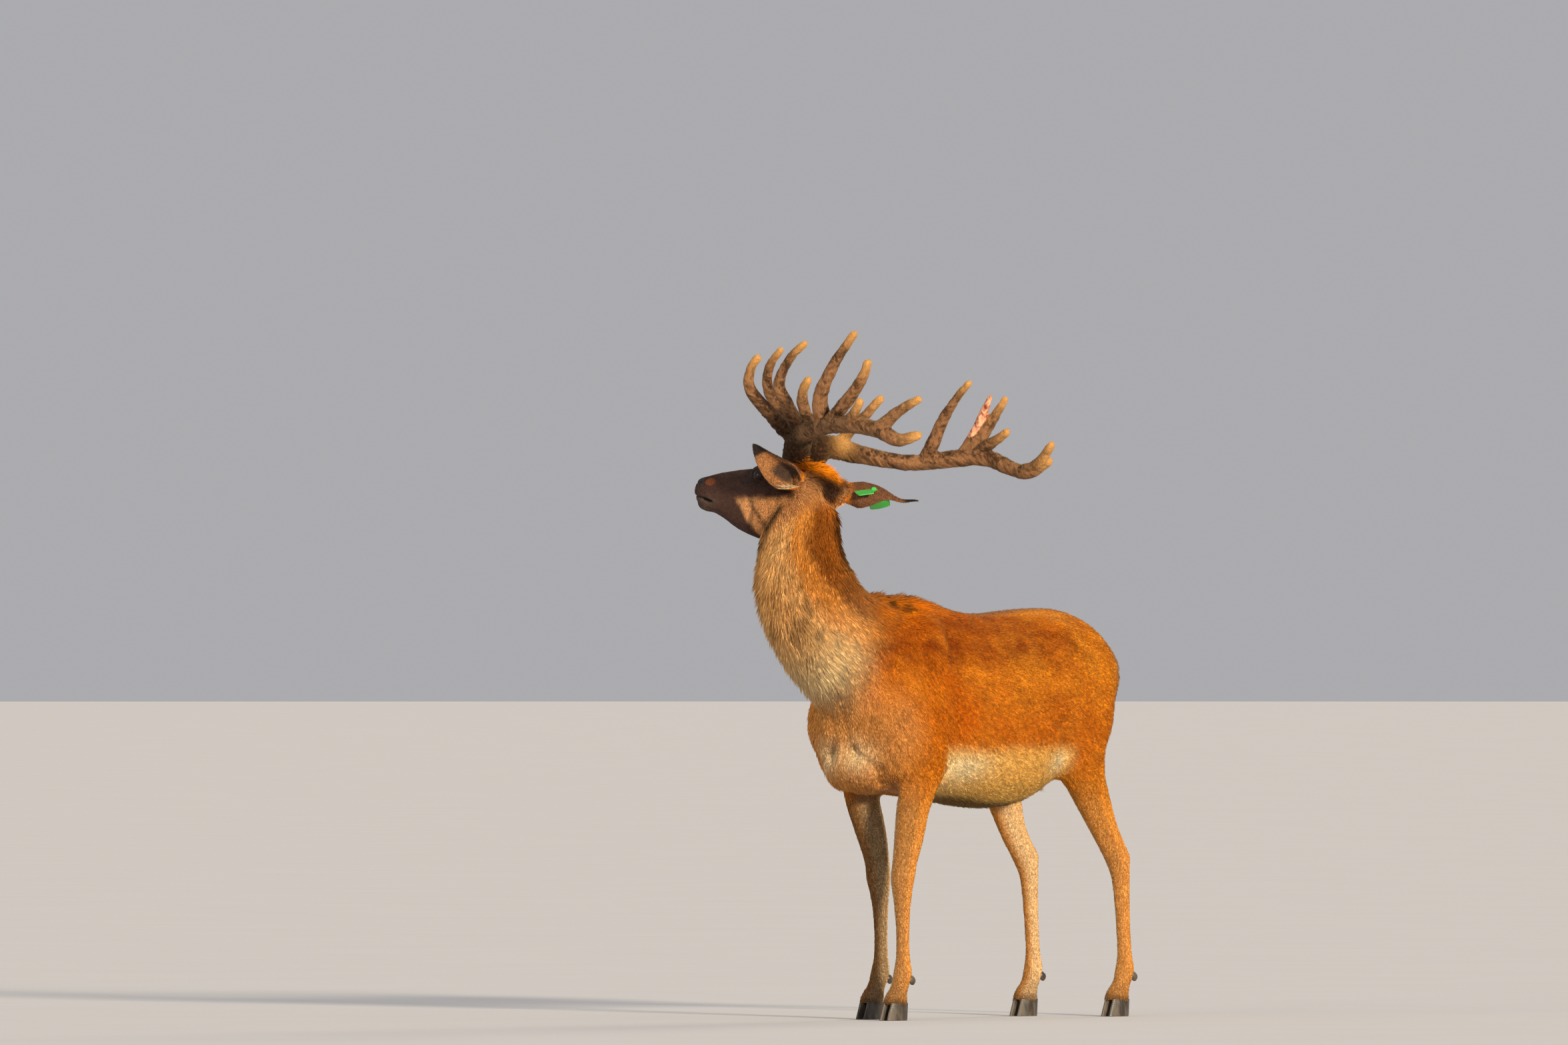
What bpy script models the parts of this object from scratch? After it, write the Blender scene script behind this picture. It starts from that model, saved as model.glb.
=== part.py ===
"""A life-size standing red deer stag in velvet, its head raised and turned to its right.

Metres, +Z up. The stag's chest faces -Y and its left side is +X. The body, ears and antlers are lofted and
swept forms grown together into one skin, which thin slots then part into named pieces. Hooves, dewclaws, eyes
and the two halves of the ear tag are solids of their own that sit in pockets of the skin.
"""

import math

import bmesh
import bpy
import numpy as np
from mathutils import Matrix, Vector

# ---- driving sizes ------------------------------------------------------------------------------------------

WITHERS = 1.25  # height of the withers
RUMP = 0.978  # how far behind the withers the buttocks reach
BELLY = 0.615  # height of the lowest point of the belly
HEAD_ORIGIN = (-0.020, -0.325, 1.490)  # joint of skull and neck
HEAD_TURN = (-7.5, -7.0, -85.0)  # degrees: nose up, right side down, turned to the stag's right
EYE = (0.066, -0.170, 0.072)  # left eyeball's centre, in the head's own axes
EYE_RADIUS = 0.019
SLOT = 0.0005  # width of the slots that part the skin
FIT = 0.0004  # clearance of a piece in its pocket
BODY_VOXEL = 0.0070
ANTLER_VOXEL = 0.0040
BODY_FACES = 2300  # triangles left in the body's skin
ANTLER_FACES = 700

HEAD = (
    Matrix.Translation(HEAD_ORIGIN)
    @ Matrix.Rotation(math.radians(HEAD_TURN[2]), 4, "Z")
    @ Matrix.Rotation(math.radians(HEAD_TURN[0]), 4, "X")
    @ Matrix.Rotation(math.radians(HEAD_TURN[1]), 4, "Y")
)

for old in list(bpy.data.objects):
    bpy.data.objects.remove(old)

STAG = bpy.data.collections.new("red_deer_stag")
CUTTERS = bpy.data.collections.new("cutters")
for group in (STAG, CUTTERS):
    bpy.context.scene.collection.children.link(group)
CUTTERS.hide_render = True


# ---- shaping tools ------------------------------------------------------------------------------------------


def linked(name, mesh, group=STAG):
    """A new object for this mesh."""
    obj = bpy.data.objects.new(name, mesh)
    group.objects.link(obj)
    return obj


def spline(rows, count):
    """A Catmull-Rom curve through rows of any width, as count rows evenly spread along the rows' own index."""
    rows = np.array(rows, float)
    padded = np.vstack([2 * rows[0] - rows[1], rows, 2 * rows[-1] - rows[-2]])
    at = np.linspace(0, len(rows) - 1, count)
    left = np.minimum(at.astype(int), len(rows) - 2)
    t = (at - left)[:, None]
    a, b, c, d = (padded[left + k] for k in range(4))
    return 0.5 * (2 * b + (c - a) * t + (2 * a - 5 * b + 4 * c - d) * t**2 + (3 * b - a - 3 * c + d) * t**3)


def unit(vectors):
    vectors = np.asarray(vectors, float)
    return vectors / np.linalg.norm(vectors, axis=-1, keepdims=True)


def section(centre, side, up, width, rise, drop, square=2.0, pear=0.0, sides=36):
    """A closed outline: half width, height above and depth below its centre, squarer with square over 2, and
    with pear over 0 wider below than above."""
    turn = np.linspace(0, 2 * math.pi, sides, endpoint=False)
    across = np.sign(np.cos(turn)) * np.abs(np.cos(turn)) ** (2 / square)
    along = np.sign(np.sin(turn)) * np.abs(np.sin(turn)) ** (2 / square)
    across = across * width * (1 - pear * along)
    along = along * np.where(along > 0, rise, drop)
    return np.asarray(centre) + np.outer(across, side) + np.outer(along, up)


def loft(name, rings):
    """A closed body through like-numbered outlines."""
    rings = np.array(rings)
    shape = bmesh.new()
    rows = [[shape.verts.new(p) for p in ring] for ring in rings]
    sides = len(rows[0])
    for low, high in zip(rows, rows[1:]):
        for k in range(sides):
            n = (k + 1) % sides
            shape.faces.new((low[k], low[n], high[n], high[k]))
    shape.faces.new(rows[0])
    shape.faces.new(reversed(rows[-1]))
    bmesh.ops.recalc_face_normals(shape, faces=shape.faces)
    mesh = bpy.data.meshes.new(name)
    shape.to_mesh(mesh)
    shape.free()
    return linked(name, mesh)


def swept(name, rows, left, count=26, sides=36):
    """A limb: rows of x, y, z, half width and half depth, its widths along left, square to its own line."""
    rows = spline(rows, count)
    heading = unit(np.gradient(rows[:, :3], axis=0))
    side = unit(np.array(left) - heading * (heading @ np.array(left))[:, None])
    depth = np.cross(heading, side)
    return loft(name, [section(r[:3], s, d, r[3], r[4], r[4], sides=sides) for r, s, d in zip(rows, side, depth)])


def bulge(name, centre, radii, turn=(0, 0, 0), sides=28, rows=18):
    """An ellipsoid."""
    shape = bmesh.new()
    bmesh.ops.create_uvsphere(shape, u_segments=sides, v_segments=rows, radius=1.0)
    mesh = bpy.data.meshes.new(name)
    shape.to_mesh(mesh)
    shape.free()
    spin = Matrix.Rotation(math.radians(turn[2]), 4, "Z") @ Matrix.Rotation(math.radians(turn[0]), 4, "X")
    mesh.transform(Matrix.Translation(centre) @ spin @ Matrix.Diagonal((*radii, 1)))
    return linked(name, mesh)


def as_mesh(obj):
    """Turns an object with its modifiers, or a curve, into a plain mesh object in world space."""
    bpy.context.view_layer.update()
    seen = obj.evaluated_get(bpy.context.evaluated_depsgraph_get())
    mesh = bpy.data.meshes.new_from_object(seen)
    mesh.transform(obj.matrix_world)
    shape = bmesh.new()
    shape.from_mesh(mesh)
    bmesh.ops.remove_doubles(shape, verts=shape.verts, dist=1e-6)
    shape.to_mesh(mesh)
    shape.free()
    name = obj.name
    bpy.data.objects.remove(obj)
    return linked(name, mesh)


def joined(name, objects, group=STAG):
    """One object of several, each evaluated first."""
    shape = bmesh.new()
    for obj in [as_mesh(o) for o in objects]:
        shape.from_mesh(obj.data)
        bpy.data.objects.remove(obj)
    mesh = bpy.data.meshes.new(name)
    shape.to_mesh(mesh)
    shape.free()
    return linked(name, mesh, group)


def grown_together(obj, voxel):
    """The union of overlapping bodies as one skin."""
    remesh = obj.modifiers.new("skin", "REMESH")
    remesh.mode = "VOXEL"
    remesh.voxel_size = voxel
    return as_mesh(obj)


def softened(obj, rounds, weight=None):
    """Evens out the joins, as strongly as weight says for each point."""
    smooth = obj.modifiers.new("soften", "SMOOTH")
    smooth.factor = 0.5
    smooth.iterations = rounds
    if weight is not None:
        places = np.array([v.co for v in obj.data.vertices])
        group = obj.vertex_groups.new(name="soft")
        for index, share in enumerate(weight(places)):
            group.add([index], float(share), "REPLACE")
        smooth.vertex_group = "soft"
    return as_mesh(obj)


def thinned(obj, faces):
    """Fewer, larger triangles, about this many."""
    obj.data.calc_loop_triangles()
    fewer = obj.modifiers.new("fewer", "DECIMATE")
    fewer.ratio = min(1, faces / len(obj.data.loop_triangles))
    fewer.use_collapse_triangulate = True
    return as_mesh(obj)


def step(low, high, value):
    """0 below low, 1 above high, and an even rise between."""
    share = np.clip((value - low) / (high - low), 0, 1)
    return share * share * (3 - 2 * share)


# ---- trunk and neck -----------------------------------------------------------------------------------------

# y, height of the back, height of the underline, half width, how much wider below than above
TRUNK = [
    (-0.245, 0.985, 0.800, 0.075, 0.00),
    (-0.190, 1.090, 0.725, 0.135, 0.00),
    (-0.100, 1.180, 0.675, 0.170, 0.08),
    (0.010, WITHERS - 0.020, 0.655, 0.190, 0.22),
    (0.110, WITHERS - 0.012, 0.647, 0.203, 0.28),
    (0.220, 1.212, 0.635, 0.216, 0.24),
    (0.340, 1.194, 0.620, 0.229, 0.16),
    (0.450, 1.194, BELLY, 0.233, 0.12),
    (0.550, 1.201, 0.630, 0.226, 0.08),
    (0.650, 1.207, 0.672, 0.208, 0.02),
    (0.750, 1.204, 0.728, 0.194, -0.02),
    (0.840, 1.182, 0.790, 0.176, 0.00),
    (0.915, 1.135, 0.850, 0.146, 0.00),
    (0.960, 1.070, 0.920, 0.095, 0.00),
    (RUMP, 1.010, 0.965, 0.035, 0.00),
]

# x, y, z, half width, half depth from throat to nape, degrees that the neck has turned by there
NECK = [
    (0.000, 0.030, 0.985, 0.150, 0.215, 0),
    (-0.002, -0.092, 1.020, 0.145, 0.205, 0),
    (-0.008, -0.204, 1.082, 0.130, 0.188, -6),
    (-0.025, -0.311, 1.180, 0.117, 0.167, -22),
    (-0.033, -0.367, 1.290, 0.106, 0.148, -46),
    (-0.032, -0.377, 1.390, 0.093, 0.127, -68),
    (-0.028, -0.352, 1.470, 0.082, 0.110, -82),
    (-0.020, -0.325, 1.520, 0.066, 0.086, -85),
]


def trunk():
    rows = spline(TRUNK, 44)
    rings = []
    for y, back, belly, width, pear in rows:
        half = (back - belly) / 2
        rings.append(section((0, y, belly + half), (1, 0, 0), (0, 0, 1), width, half, half, 2.15, pear))
    return loft("barrel", rings)


def neck():
    rows = spline(NECK, 30)
    heading = unit(np.gradient(rows[:, :3], axis=0))
    turn = np.radians(rows[:, 5])
    left = np.stack([np.cos(turn), np.sin(turn), 0 * turn], 1)
    left = unit(left - heading * (left * heading).sum(1)[:, None])
    back = np.cross(heading, left)
    return loft("neck", [section(r[:3], s, b, r[3], r[4], r[4]) for r, s, b in zip(rows, left, back)])


def masses():
    """Muscles and bones that show under the coat, on both sides."""
    made = [
        bulge("withers", (0, 0.050, 1.140), (0.080, 0.160, 0.106)),
        bulge("croup", (0, 0.720, 1.110), (0.110, 0.180, 0.098)),
        bulge("nape_ridge", (-0.004, -0.062, 1.166), (0.050, 0.120, 0.090)),
        bulge("breastbone", (0, -0.105, 0.750), (0.090, 0.148, 0.094)),
        bulge("sheath", (0, 0.670, 0.705), (0.028, 0.080, 0.032), (-30, 0, 0)),
    ]
    for s in (-1, 1):
        made += [
            bulge("shoulder_point", (s * 0.096, -0.132, 0.895), (0.078, 0.094, 0.140), (-15, 0, s * 20)),
            bulge("pectoral", (s * 0.053, -0.155, 0.760), (0.060, 0.082, 0.094)),
            bulge("upper_arm", (s * 0.122, -0.045, 0.805), (0.078, 0.130, 0.120), (25, 0, 0)),
            bulge("shoulder_blade", (s * 0.090, 0.005, 0.990), (0.092, 0.140, 0.205), (-16, 0, 0)),
            bulge("hip_bone", (s * 0.100, 0.640, 1.100), (0.078, 0.120, 0.082)),
            bulge("seat_bone", (s * 0.078, 0.880, 1.005), (0.074, 0.090, 0.110)),
            bulge("flank_fold", (s * 0.138, 0.605, 0.805), (0.060, 0.120, 0.100), (28, 0, 0)),
        ]
    return made


# ---- legs ---------------------------------------------------------------------------------------------------

# x, y, z, half width, half depth
FORELEG = [
    (0.130, 0.020, 0.860, 0.055, 0.110),
    (0.145, -0.005, 0.780, 0.056, 0.098),
    (0.134, -0.020, 0.710, 0.051, 0.074),
    (0.123, -0.045, 0.635, 0.0455, 0.060),
    (0.112, -0.053, 0.540, 0.0405, 0.052),
    (0.101, -0.059, 0.465, 0.0345, 0.0435),
    (0.095, -0.063, 0.412, 0.0350, 0.0405),
    (0.092, -0.060, 0.360, 0.0275, 0.0320),
    (0.091, -0.057, 0.280, 0.0205, 0.0260),
    (0.091, -0.056, 0.190, 0.0205, 0.0255),
    (0.092, -0.058, 0.137, 0.0285, 0.0320),
    (0.093, -0.076, 0.095, 0.0265, 0.0280),
    (0.094, -0.092, 0.062, 0.0345, 0.0385),
    (0.094, -0.096, 0.050, 0.0345, 0.0400),
    (0.094, -0.101, 0.030, 0.0345, 0.0400),
]

HINDLEG = [
    (0.100, 0.735, 1.060, 0.070, 0.150),
    (0.126, 0.740, 0.960, 0.074, 0.158),
    (0.144, 0.715, 0.860, 0.072, 0.148),
    (0.148, 0.715, 0.780, 0.062, 0.122),
    (0.143, 0.752, 0.715, 0.053, 0.088),
    (0.134, 0.803, 0.640, 0.043, 0.066),
    (0.128, 0.866, 0.550, 0.0330, 0.050),
    (0.125, 0.915, 0.490, 0.0320, 0.045),
    (0.124, 0.938, 0.452, 0.0320, 0.0415),
    (0.124, 0.950, 0.400, 0.0255, 0.0330),
    (0.124, 0.959, 0.290, 0.0215, 0.0270),
    (0.124, 0.967, 0.190, 0.0215, 0.0265),
    (0.124, 0.969, 0.137, 0.0290, 0.0330),
    (0.124, 0.951, 0.095, 0.0265, 0.0285),
    (0.124, 0.934, 0.062, 0.0350, 0.0395),
    (0.124, 0.930, 0.050, 0.0350, 0.0410),
    (0.124, 0.925, 0.030, 0.0350, 0.0410),
]

# name, side, rows, how far the foot is set behind the rows' own place, and from which height down it swings
LEGS = {
    "foreleg_left": (1, FORELEG, 0.0, 0.80, 0.42),
    "foreleg_right": (-1, FORELEG, 0.130, 0.90, 0.42),
    "hindleg_left": (1, HINDLEG, 0.0, 0.90, 0.48),
    "hindleg_right": (-1, HINDLEG, -0.120, 0.90, 0.48),
}


def leg_rows(name):
    """One leg's rows, mirrored and swung to where that foot stands."""
    side, rows, swing, top, low = LEGS[name]
    rows = np.array(rows, float)
    share = np.clip((top - rows[:, 2]) / (top - low), 0, 1)
    rows[:, 1] += swing * share * share * (3 - 2 * share)
    rows[:, 0] *= side
    return rows


def foot(name):
    """Where the leg meets its hooves."""
    return leg_rows(name)[-2][:3]


def legs():
    made = [swept(name, leg_rows(name), (1, 0, 0), 40) for name in LEGS]
    for name in ("hindleg_left", "hindleg_right"):
        rows = leg_rows(name)
        heel = rows[8][:3] + np.array((0, 0.030, 0.020))
        made.append(bulge("point_of_hock", heel, (0.017, 0.020, 0.034), (22, 0, 0)))
    return made


# ---- hooves and dewclaws ------------------------------------------------------------------------------------

HOOF_LENGTH = 0.083
HOOF_WIDTH = 0.031
HOOF_HEIGHT = 0.052
CLEFT = 0.004


def hoof(name, leg, outer):
    """One claw of a cloven hoof: flat on the ground, its toe drawn to a point that leans inwards."""
    x, y, _ = foot(leg)
    lean = 1 if outer else -1
    heights = np.linspace(0, HOOF_HEIGHT, 3)
    rings = []
    for z in heights:
        rise = z / HOOF_HEIGHT
        length = HOOF_LENGTH * (1 - 0.20 * rise) / 2
        width = HOOF_WIDTH * (1 - 0.14 * rise) / 2
        turn = np.linspace(0, 2 * math.pi, 14, endpoint=False)
        ahead = np.cos(turn)
        taper = 1 - 0.42 * np.clip(ahead, 0, 1) ** 1.6
        px = lean * (CLEFT / 2 + HOOF_WIDTH / 2) + width * np.sin(turn) * taper - lean * 0.004 * ahead
        py = -ahead * length - 0.016 + 0.24 * z
        rings.append(np.stack([x + px, y + py, z + 0 * px], 1))
    return loft(name, rings)


def dewclaw(name, leg, outer, grow=0.0):
    """A small horn peg behind the fetlock."""
    rows = leg_rows(leg)
    x, y, z = rows[-5][:3]
    lean = 1 if outer else -1
    place = (x + lean * 0.0165, y + 0.023, z - 0.020)
    return bulge(name, place, (0.0085 + grow, 0.0125 + grow, 0.0150 + grow), (35, 0, 0), 8, 5)


# ---- head ---------------------------------------------------------------------------------------------------

# y (the nose is at -0.412), height above and depth below the head's axis, half width, squareness, pear
SKULL = [
    (0.035, 0.070, 0.075, 0.058, 2.0, 0.00),
    (-0.005, 0.096, 0.100, 0.074, 2.1, 0.00),
    (-0.060, 0.107, 0.116, 0.081, 2.2, -0.02),
    (-0.120, 0.109, 0.117, 0.080, 2.3, -0.08),
    (-0.170, 0.106, 0.110, 0.076, 2.4, -0.16),
    (-0.215, 0.099, 0.102, 0.066, 2.4, -0.15),
    (-0.260, 0.090, 0.089, 0.055, 2.3, -0.08),
    (-0.305, 0.080, 0.068, 0.047, 2.3, 0.00),
    (-0.340, 0.070, 0.056, 0.0435, 2.4, 0.00),
    (-0.368, 0.060, 0.048, 0.0425, 2.5, 0.00),
    (-0.388, 0.050, 0.038, 0.0390, 2.5, 0.00),
    (-0.402, 0.038, 0.026, 0.0310, 2.4, 0.00),
    (-0.412, 0.018, 0.012, 0.0160, 2.2, 0.00),
]


def in_head(obj):
    obj.data.transform(HEAD)
    return obj


def head():
    rows = spline(SKULL, 40)
    rings = [
        section((0, y, 0), (1, 0, 0), (0, 0, 1), width, rise, drop, square, pear)
        for y, rise, drop, width, square, pear in rows
    ]
    made = [loft("skull", rings), bulge("crown", (0, -0.018, 0.080), (0.056, 0.066, 0.056))]
    for s in (-1, 1):
        made += [
            bulge("brow", (s * 0.056, -0.165, 0.083), (0.030, 0.046, 0.026)),
            bulge("cheek", (s * 0.046, -0.120, -0.035), (0.038, 0.075, 0.072)),
            bulge("lip", (s * 0.021, -0.374, 0.004), (0.025, 0.046, 0.028)),
            bulge("ear_root", (s * 0.066, -0.006 if s > 0 else 0.016, 0.060), (0.040, 0.042, 0.040)),
            swept(
                "pedicle",
                [(s * 0.038, -0.078, 0.070, 0.034, 0.036), (s * 0.045, -0.076, 0.150, 0.034, 0.036)],
                (1, 0, 0),
                6,
            ),
        ]
    made.append(bulge("chin", (0, -0.368, -0.033), (0.029, 0.044, 0.022)))
    made.append(bulge("nose", (0, -0.391, 0.021), (0.033, 0.034, 0.032)))
    return [in_head(o) for o in made]


EAR_WALL = 0.0062
# name: root in the head's axes, the way the ear points, the way its opening faces, length, width
EARS = {
    "ear_left": ((0.064, -0.014, 0.072), (0.775, -0.482, 0.410), (0.80, 0.50, -0.15), 0.208, 1.00, 0.020, 0.012, 0, 0),
    "ear_right": ((-0.066, 0.010, 0.073), (-0.52, 0.85, 0.08), (-0.60, -0.35, -0.70), 0.244, 1.03, 0.0, 0.012, -45, 1),
}
# share of the ear's length: radius of its wall there, and how many degrees of a tube it makes
EAR_LEAF = np.array([
    (0.00, 0.021, 350), (0.10, 0.027, 325), (0.20, 0.034, 250), (0.32, 0.0430, 208), (0.45, 0.0405, 182),
    (0.60, 0.0345, 165), (0.78, 0.0235, 150), (0.90, 0.0145, 135), (0.96, 0.0080, 125), (1.00, 0.0012, 120),
])


def ear_frame(name):
    """The ear's root, its own line, the way it opens, and the way across it."""
    root, way, facing = EARS[name][:3]
    way = unit(way)
    facing = unit(np.array(facing) - way * (way @ np.array(facing)))
    return np.array(root), way, facing, np.cross(way, facing)


def ear_wall(name, share, turn):
    """A point in the middle of the ear's wall and its outward direction there: share of the length, and the
    turn from the middle of its back."""
    root, way, facing, across = ear_frame(name)
    length, width, bow, curl, twist, drawn = EARS[name][3:]
    spin = math.radians(twist) * float(step(0.25, 0.85, share))
    opening = facing * math.cos(spin) + across * math.sin(spin)
    across = across * math.cos(spin) - facing * math.sin(spin)
    radius = width * np.interp(share, EAR_LEAF[:, 0], EAR_LEAF[:, 1]) * (1 - 0.42 * drawn * float(step(0.45, 0.75, share)))
    outward = -opening * math.cos(turn) + across * math.sin(turn)
    centre = root + way * (length * share) + facing * (0.35 * radius + curl * share * share)
    centre = centre + facing * (0.022 * drawn * math.exp(-(((share - 0.80) / 0.15) ** 2)))
    centre = centre - across * (bow * 4 * share * (1 - share))
    return centre + (across * math.sin(turn) - opening * (0.78 * math.cos(turn))) * radius, outward


def ear(name, rows=10, columns=8):
    """A leaf rolled into a tube at its root, opening to a cup and drawn to a point."""
    shape = bmesh.new()
    sheets = ([], [])
    for share in np.linspace(0, 1, rows):
        spread = math.radians(min(318, np.interp(share, EAR_LEAF[:, 0], EAR_LEAF[:, 2])))
        thin = EAR_WALL / 2 * (1 - 0.45 * share)
        for sheet, out in zip(sheets, (thin, -thin)):
            points = [ear_wall(name, share, turn) for turn in np.linspace(-spread / 2, spread / 2, columns)]
            sheet.append([shape.verts.new(place + normal * out) for place, normal in points])
    outer, inner = sheets
    for sheet in sheets:
        for low, high in zip(sheet, sheet[1:]):
            for a, b, c, d in zip(low, low[1:], high[1:], high):
                shape.faces.new((a, b, c, d))
    for k in range(rows - 1):
        for side in (0, -1):
            shape.faces.new((outer[k][side], outer[k + 1][side], inner[k + 1][side], inner[k][side]))
    for row in (0, -1):
        for k in range(columns - 1):
            shape.faces.new((outer[row][k], outer[row][k + 1], inner[row][k + 1], inner[row][k]))
    bmesh.ops.recalc_face_normals(shape, faces=shape.faces)
    mesh = bpy.data.meshes.new(name)
    shape.to_mesh(mesh)
    shape.free()
    return in_head(linked(name, mesh))


# ---- antlers in velvet --------------------------------------------------------------------------------------

# Each beam's line and radius, in the head's axes with x outwards: out, back, up, radius
BEAMS = {
    "left": [
        (0.044, -0.076, 0.128, 0.036),
        (0.048, -0.072, 0.162, 0.041),
        (0.078, -0.042, 0.205, 0.034),
        (0.180, 0.060, 0.226, 0.026),
        (0.262, 0.172, 0.243, 0.026),
        (0.310, 0.290, 0.252, 0.026),
        (0.332, 0.388, 0.242, 0.023),
        (0.330, 0.450, 0.226, 0.021),
        (0.312, 0.515, 0.256, 0.014),
    ],
    "right": [
        (0.044, -0.076, 0.128, 0.036),
        (0.048, -0.070, 0.162, 0.041),
        (0.075, -0.046, 0.192, 0.036),
        (0.150, 0.016, 0.187, 0.029),
        (0.262, 0.122, 0.190, 0.024),
        (0.335, 0.225, 0.225, 0.027),
        (0.360, 0.315, 0.243, 0.026),
        (0.365, 0.405, 0.224, 0.023),
        (0.350, 0.482, 0.220, 0.020),
        (0.338, 0.558, 0.268, 0.013),
    ],
}

# Each tine: its line from root to tip, in the same axes, and its radius at root and tip
TINES = {
    "left": {
        "brow": ([(0.052, -0.078, 0.190), (0.080, -0.185, 0.268), (0.100, -0.236, 0.318), (0.106, -0.242, 0.375),
                  (0.098, -0.224, 0.420)], 0.023, 0.012),
        "bez": ([(0.078, -0.046, 0.212), (0.108, -0.096, 0.290), (0.130, -0.121, 0.345), (0.132, -0.096, 0.425),
                 (0.112, -0.060, 0.480)], 0.023, 0.010),
        "royal": ([(0.226, 0.120, 0.232), (0.248, 0.104, 0.312), (0.262, 0.124, 0.375), (0.270, 0.160, 0.450),
                   (0.262, 0.198, 0.528)], 0.025, 0.012),
        "royal_back": ([(0.250, 0.150, 0.240), (0.265, 0.190, 0.292), (0.285, 0.240, 0.348),
                        (0.292, 0.266, 0.400), (0.290, 0.274, 0.450)], 0.023, 0.013),
        "surroyal": ([(0.280, 0.205, 0.246), (0.310, 0.250, 0.258), (0.342, 0.290, 0.286),
                      (0.360, 0.318, 0.328)], 0.022, 0.012),
        "crown_top": ([(0.330, 0.370, 0.244), (0.338, 0.415, 0.288), (0.345, 0.462, 0.325),
                       (0.350, 0.515, 0.358)], 0.021, 0.012),
    },
    "right": {
        "brow": ([(0.052, -0.075, 0.195), (0.078, -0.205, 0.258), (0.088, -0.290, 0.325), (0.090, -0.305, 0.395),
                  (0.082, -0.265, 0.463)], 0.022, 0.011),
        "bez": ([(0.066, -0.060, 0.196), (0.095, -0.160, 0.285), (0.108, -0.188, 0.340),
                 (0.108, -0.172, 0.388)], 0.020, 0.012),
        "tray": ([(0.096, -0.032, 0.192), (0.115, -0.008, 0.248), (0.138, 0.035, 0.320),
                  (0.140, 0.068, 0.366)], 0.020, 0.013),
        "royal": ([(0.292, 0.155, 0.196), (0.290, 0.176, 0.270), (0.280, 0.198, 0.328), (0.266, 0.238, 0.392),
                   (0.250, 0.290, 0.456)], 0.022, 0.011),
        "surroyal": ([(0.346, 0.245, 0.232), (0.358, 0.266, 0.308), (0.356, 0.284, 0.372),
                      (0.350, 0.303, 0.430)], 0.020, 0.009),
        "surroyal_back": ([(0.352, 0.268, 0.240), (0.368, 0.296, 0.325), (0.380, 0.316, 0.380),
                           (0.380, 0.338, 0.432)], 0.022, 0.010),
        "crown_low": ([(0.354, 0.280, 0.242), (0.342, 0.326, 0.276), (0.328, 0.370, 0.304),
                       (0.318, 0.406, 0.333)], 0.020, 0.012),
        "crown_top": ([(0.355, 0.460, 0.222), (0.335, 0.512, 0.246), (0.315, 0.546, 0.280),
                       (0.300, 0.574, 0.316)], 0.019, 0.012),
    },
}


def tube(name, points, radii):
    """A tube with round ends, as a curve object with a radius at each point."""
    curve = bpy.data.curves.new(name, "CURVE")
    curve.dimensions = "3D"
    curve.bevel_depth = 1.0
    curve.bevel_resolution = 4
    curve.use_fill_caps = True
    line = curve.splines.new("POLY")
    line.points.add(len(points) - 1)
    for point, place, radius in zip(line.points, points, radii):
        point.co = (*place, 1)
        point.radius = radius
    return linked(name, curve)


def rounded(points, radii):
    """Shrinks the last stretch of a line's radii to a blunt dome."""
    step = np.linalg.norm(np.diff(points, axis=0), axis=1)
    left = np.concatenate([np.cumsum(step[::-1])[::-1], [0]])
    tip = radii[-1]
    inside = np.clip(left / tip, 0, 1)
    return radii * np.sqrt(np.maximum(1 - (1 - inside) ** 2, 0.02))


def beam_line(side):
    return spline(BEAMS[side], 64)


def tine_line(side, name):
    points, thick, thin = TINES[side][name]
    along = np.linspace(0, 1, 26)
    swell = 1 + 0.22 * np.exp(-along * 9)
    return spline(points, 26), (thick + (thin - thick) * along**1.3) * swell


def antler(side):
    sign = 1 if side == "left" else -1
    rows = beam_line(side)
    lines = {"beam": (rows[:, :3], rows[:, 3])}
    for name in TINES[side]:
        lines[name] = tine_line(side, name)
    made = []
    for name, (points, radii) in lines.items():
        made.append(as_mesh(tube(f"{side}_{name}", points * (sign, 1, 1), rounded(points, radii))))
    if side == "right":
        made.append(bulge("palm", (-0.362, 0.285, 0.300), (0.013, 0.027, 0.052), (-14, 0, 0)))
    return joined("antler_" + side, [in_head(o) for o in made])


# ---- tail ---------------------------------------------------------------------------------------------------

TAIL = [
    (0, 0.860, 1.120, 0.030, 0.030),
    (0, 0.945, 1.075, 0.034, 0.026),
    (0, 0.992, 0.995, 0.033, 0.020),
    (0, 1.004, 0.915, 0.024, 0.015),
    (0, 1.008, 0.868, 0.010, 0.008),
]


# ---- the skin -----------------------------------------------------------------------------------------------


def softness(places):
    """How strongly the joins are softened: much on the trunk and neck, little on the head and lower legs."""
    local = (np.c_[places, np.ones(len(places))] @ np.array(HEAD.inverted()).T)[:, :3]
    ahead = (local - (0, 0.06, 0.05)) @ np.array((0, -0.743, 0.669))
    head_share = step(-0.03, 0.03, ahead) * (places[:, 2] > 1.2)
    leg_share = 1 - step(0.60, 0.74, places[:, 2])
    return 1 - 0.86 * np.maximum(head_share, leg_share)


def body():
    core = joined("body", [trunk(), neck(), *masses(), *legs(), *head()])
    return thinned(softened(grown_together(core, BODY_VOXEL), 40, softness), BODY_FACES)


# ---- parting the skin into pieces -----------------------------------------------------------------------------


def cut(obj, cutter):
    """Takes the cutter out of the object."""
    take = obj.modifiers.new("cut", "BOOLEAN")
    take.operation = "DIFFERENCE"
    take.solver = "EXACT"
    take.object = cutter
    made = as_mesh(obj)
    bpy.data.objects.remove(cutter)
    return made


def as_cutter(obj):
    for group in obj.users_collection:
        group.objects.unlink(obj)
    CUTTERS.objects.link(obj)
    obj.hide_render = True
    obj.display_type = "WIRE"
    return obj


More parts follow.
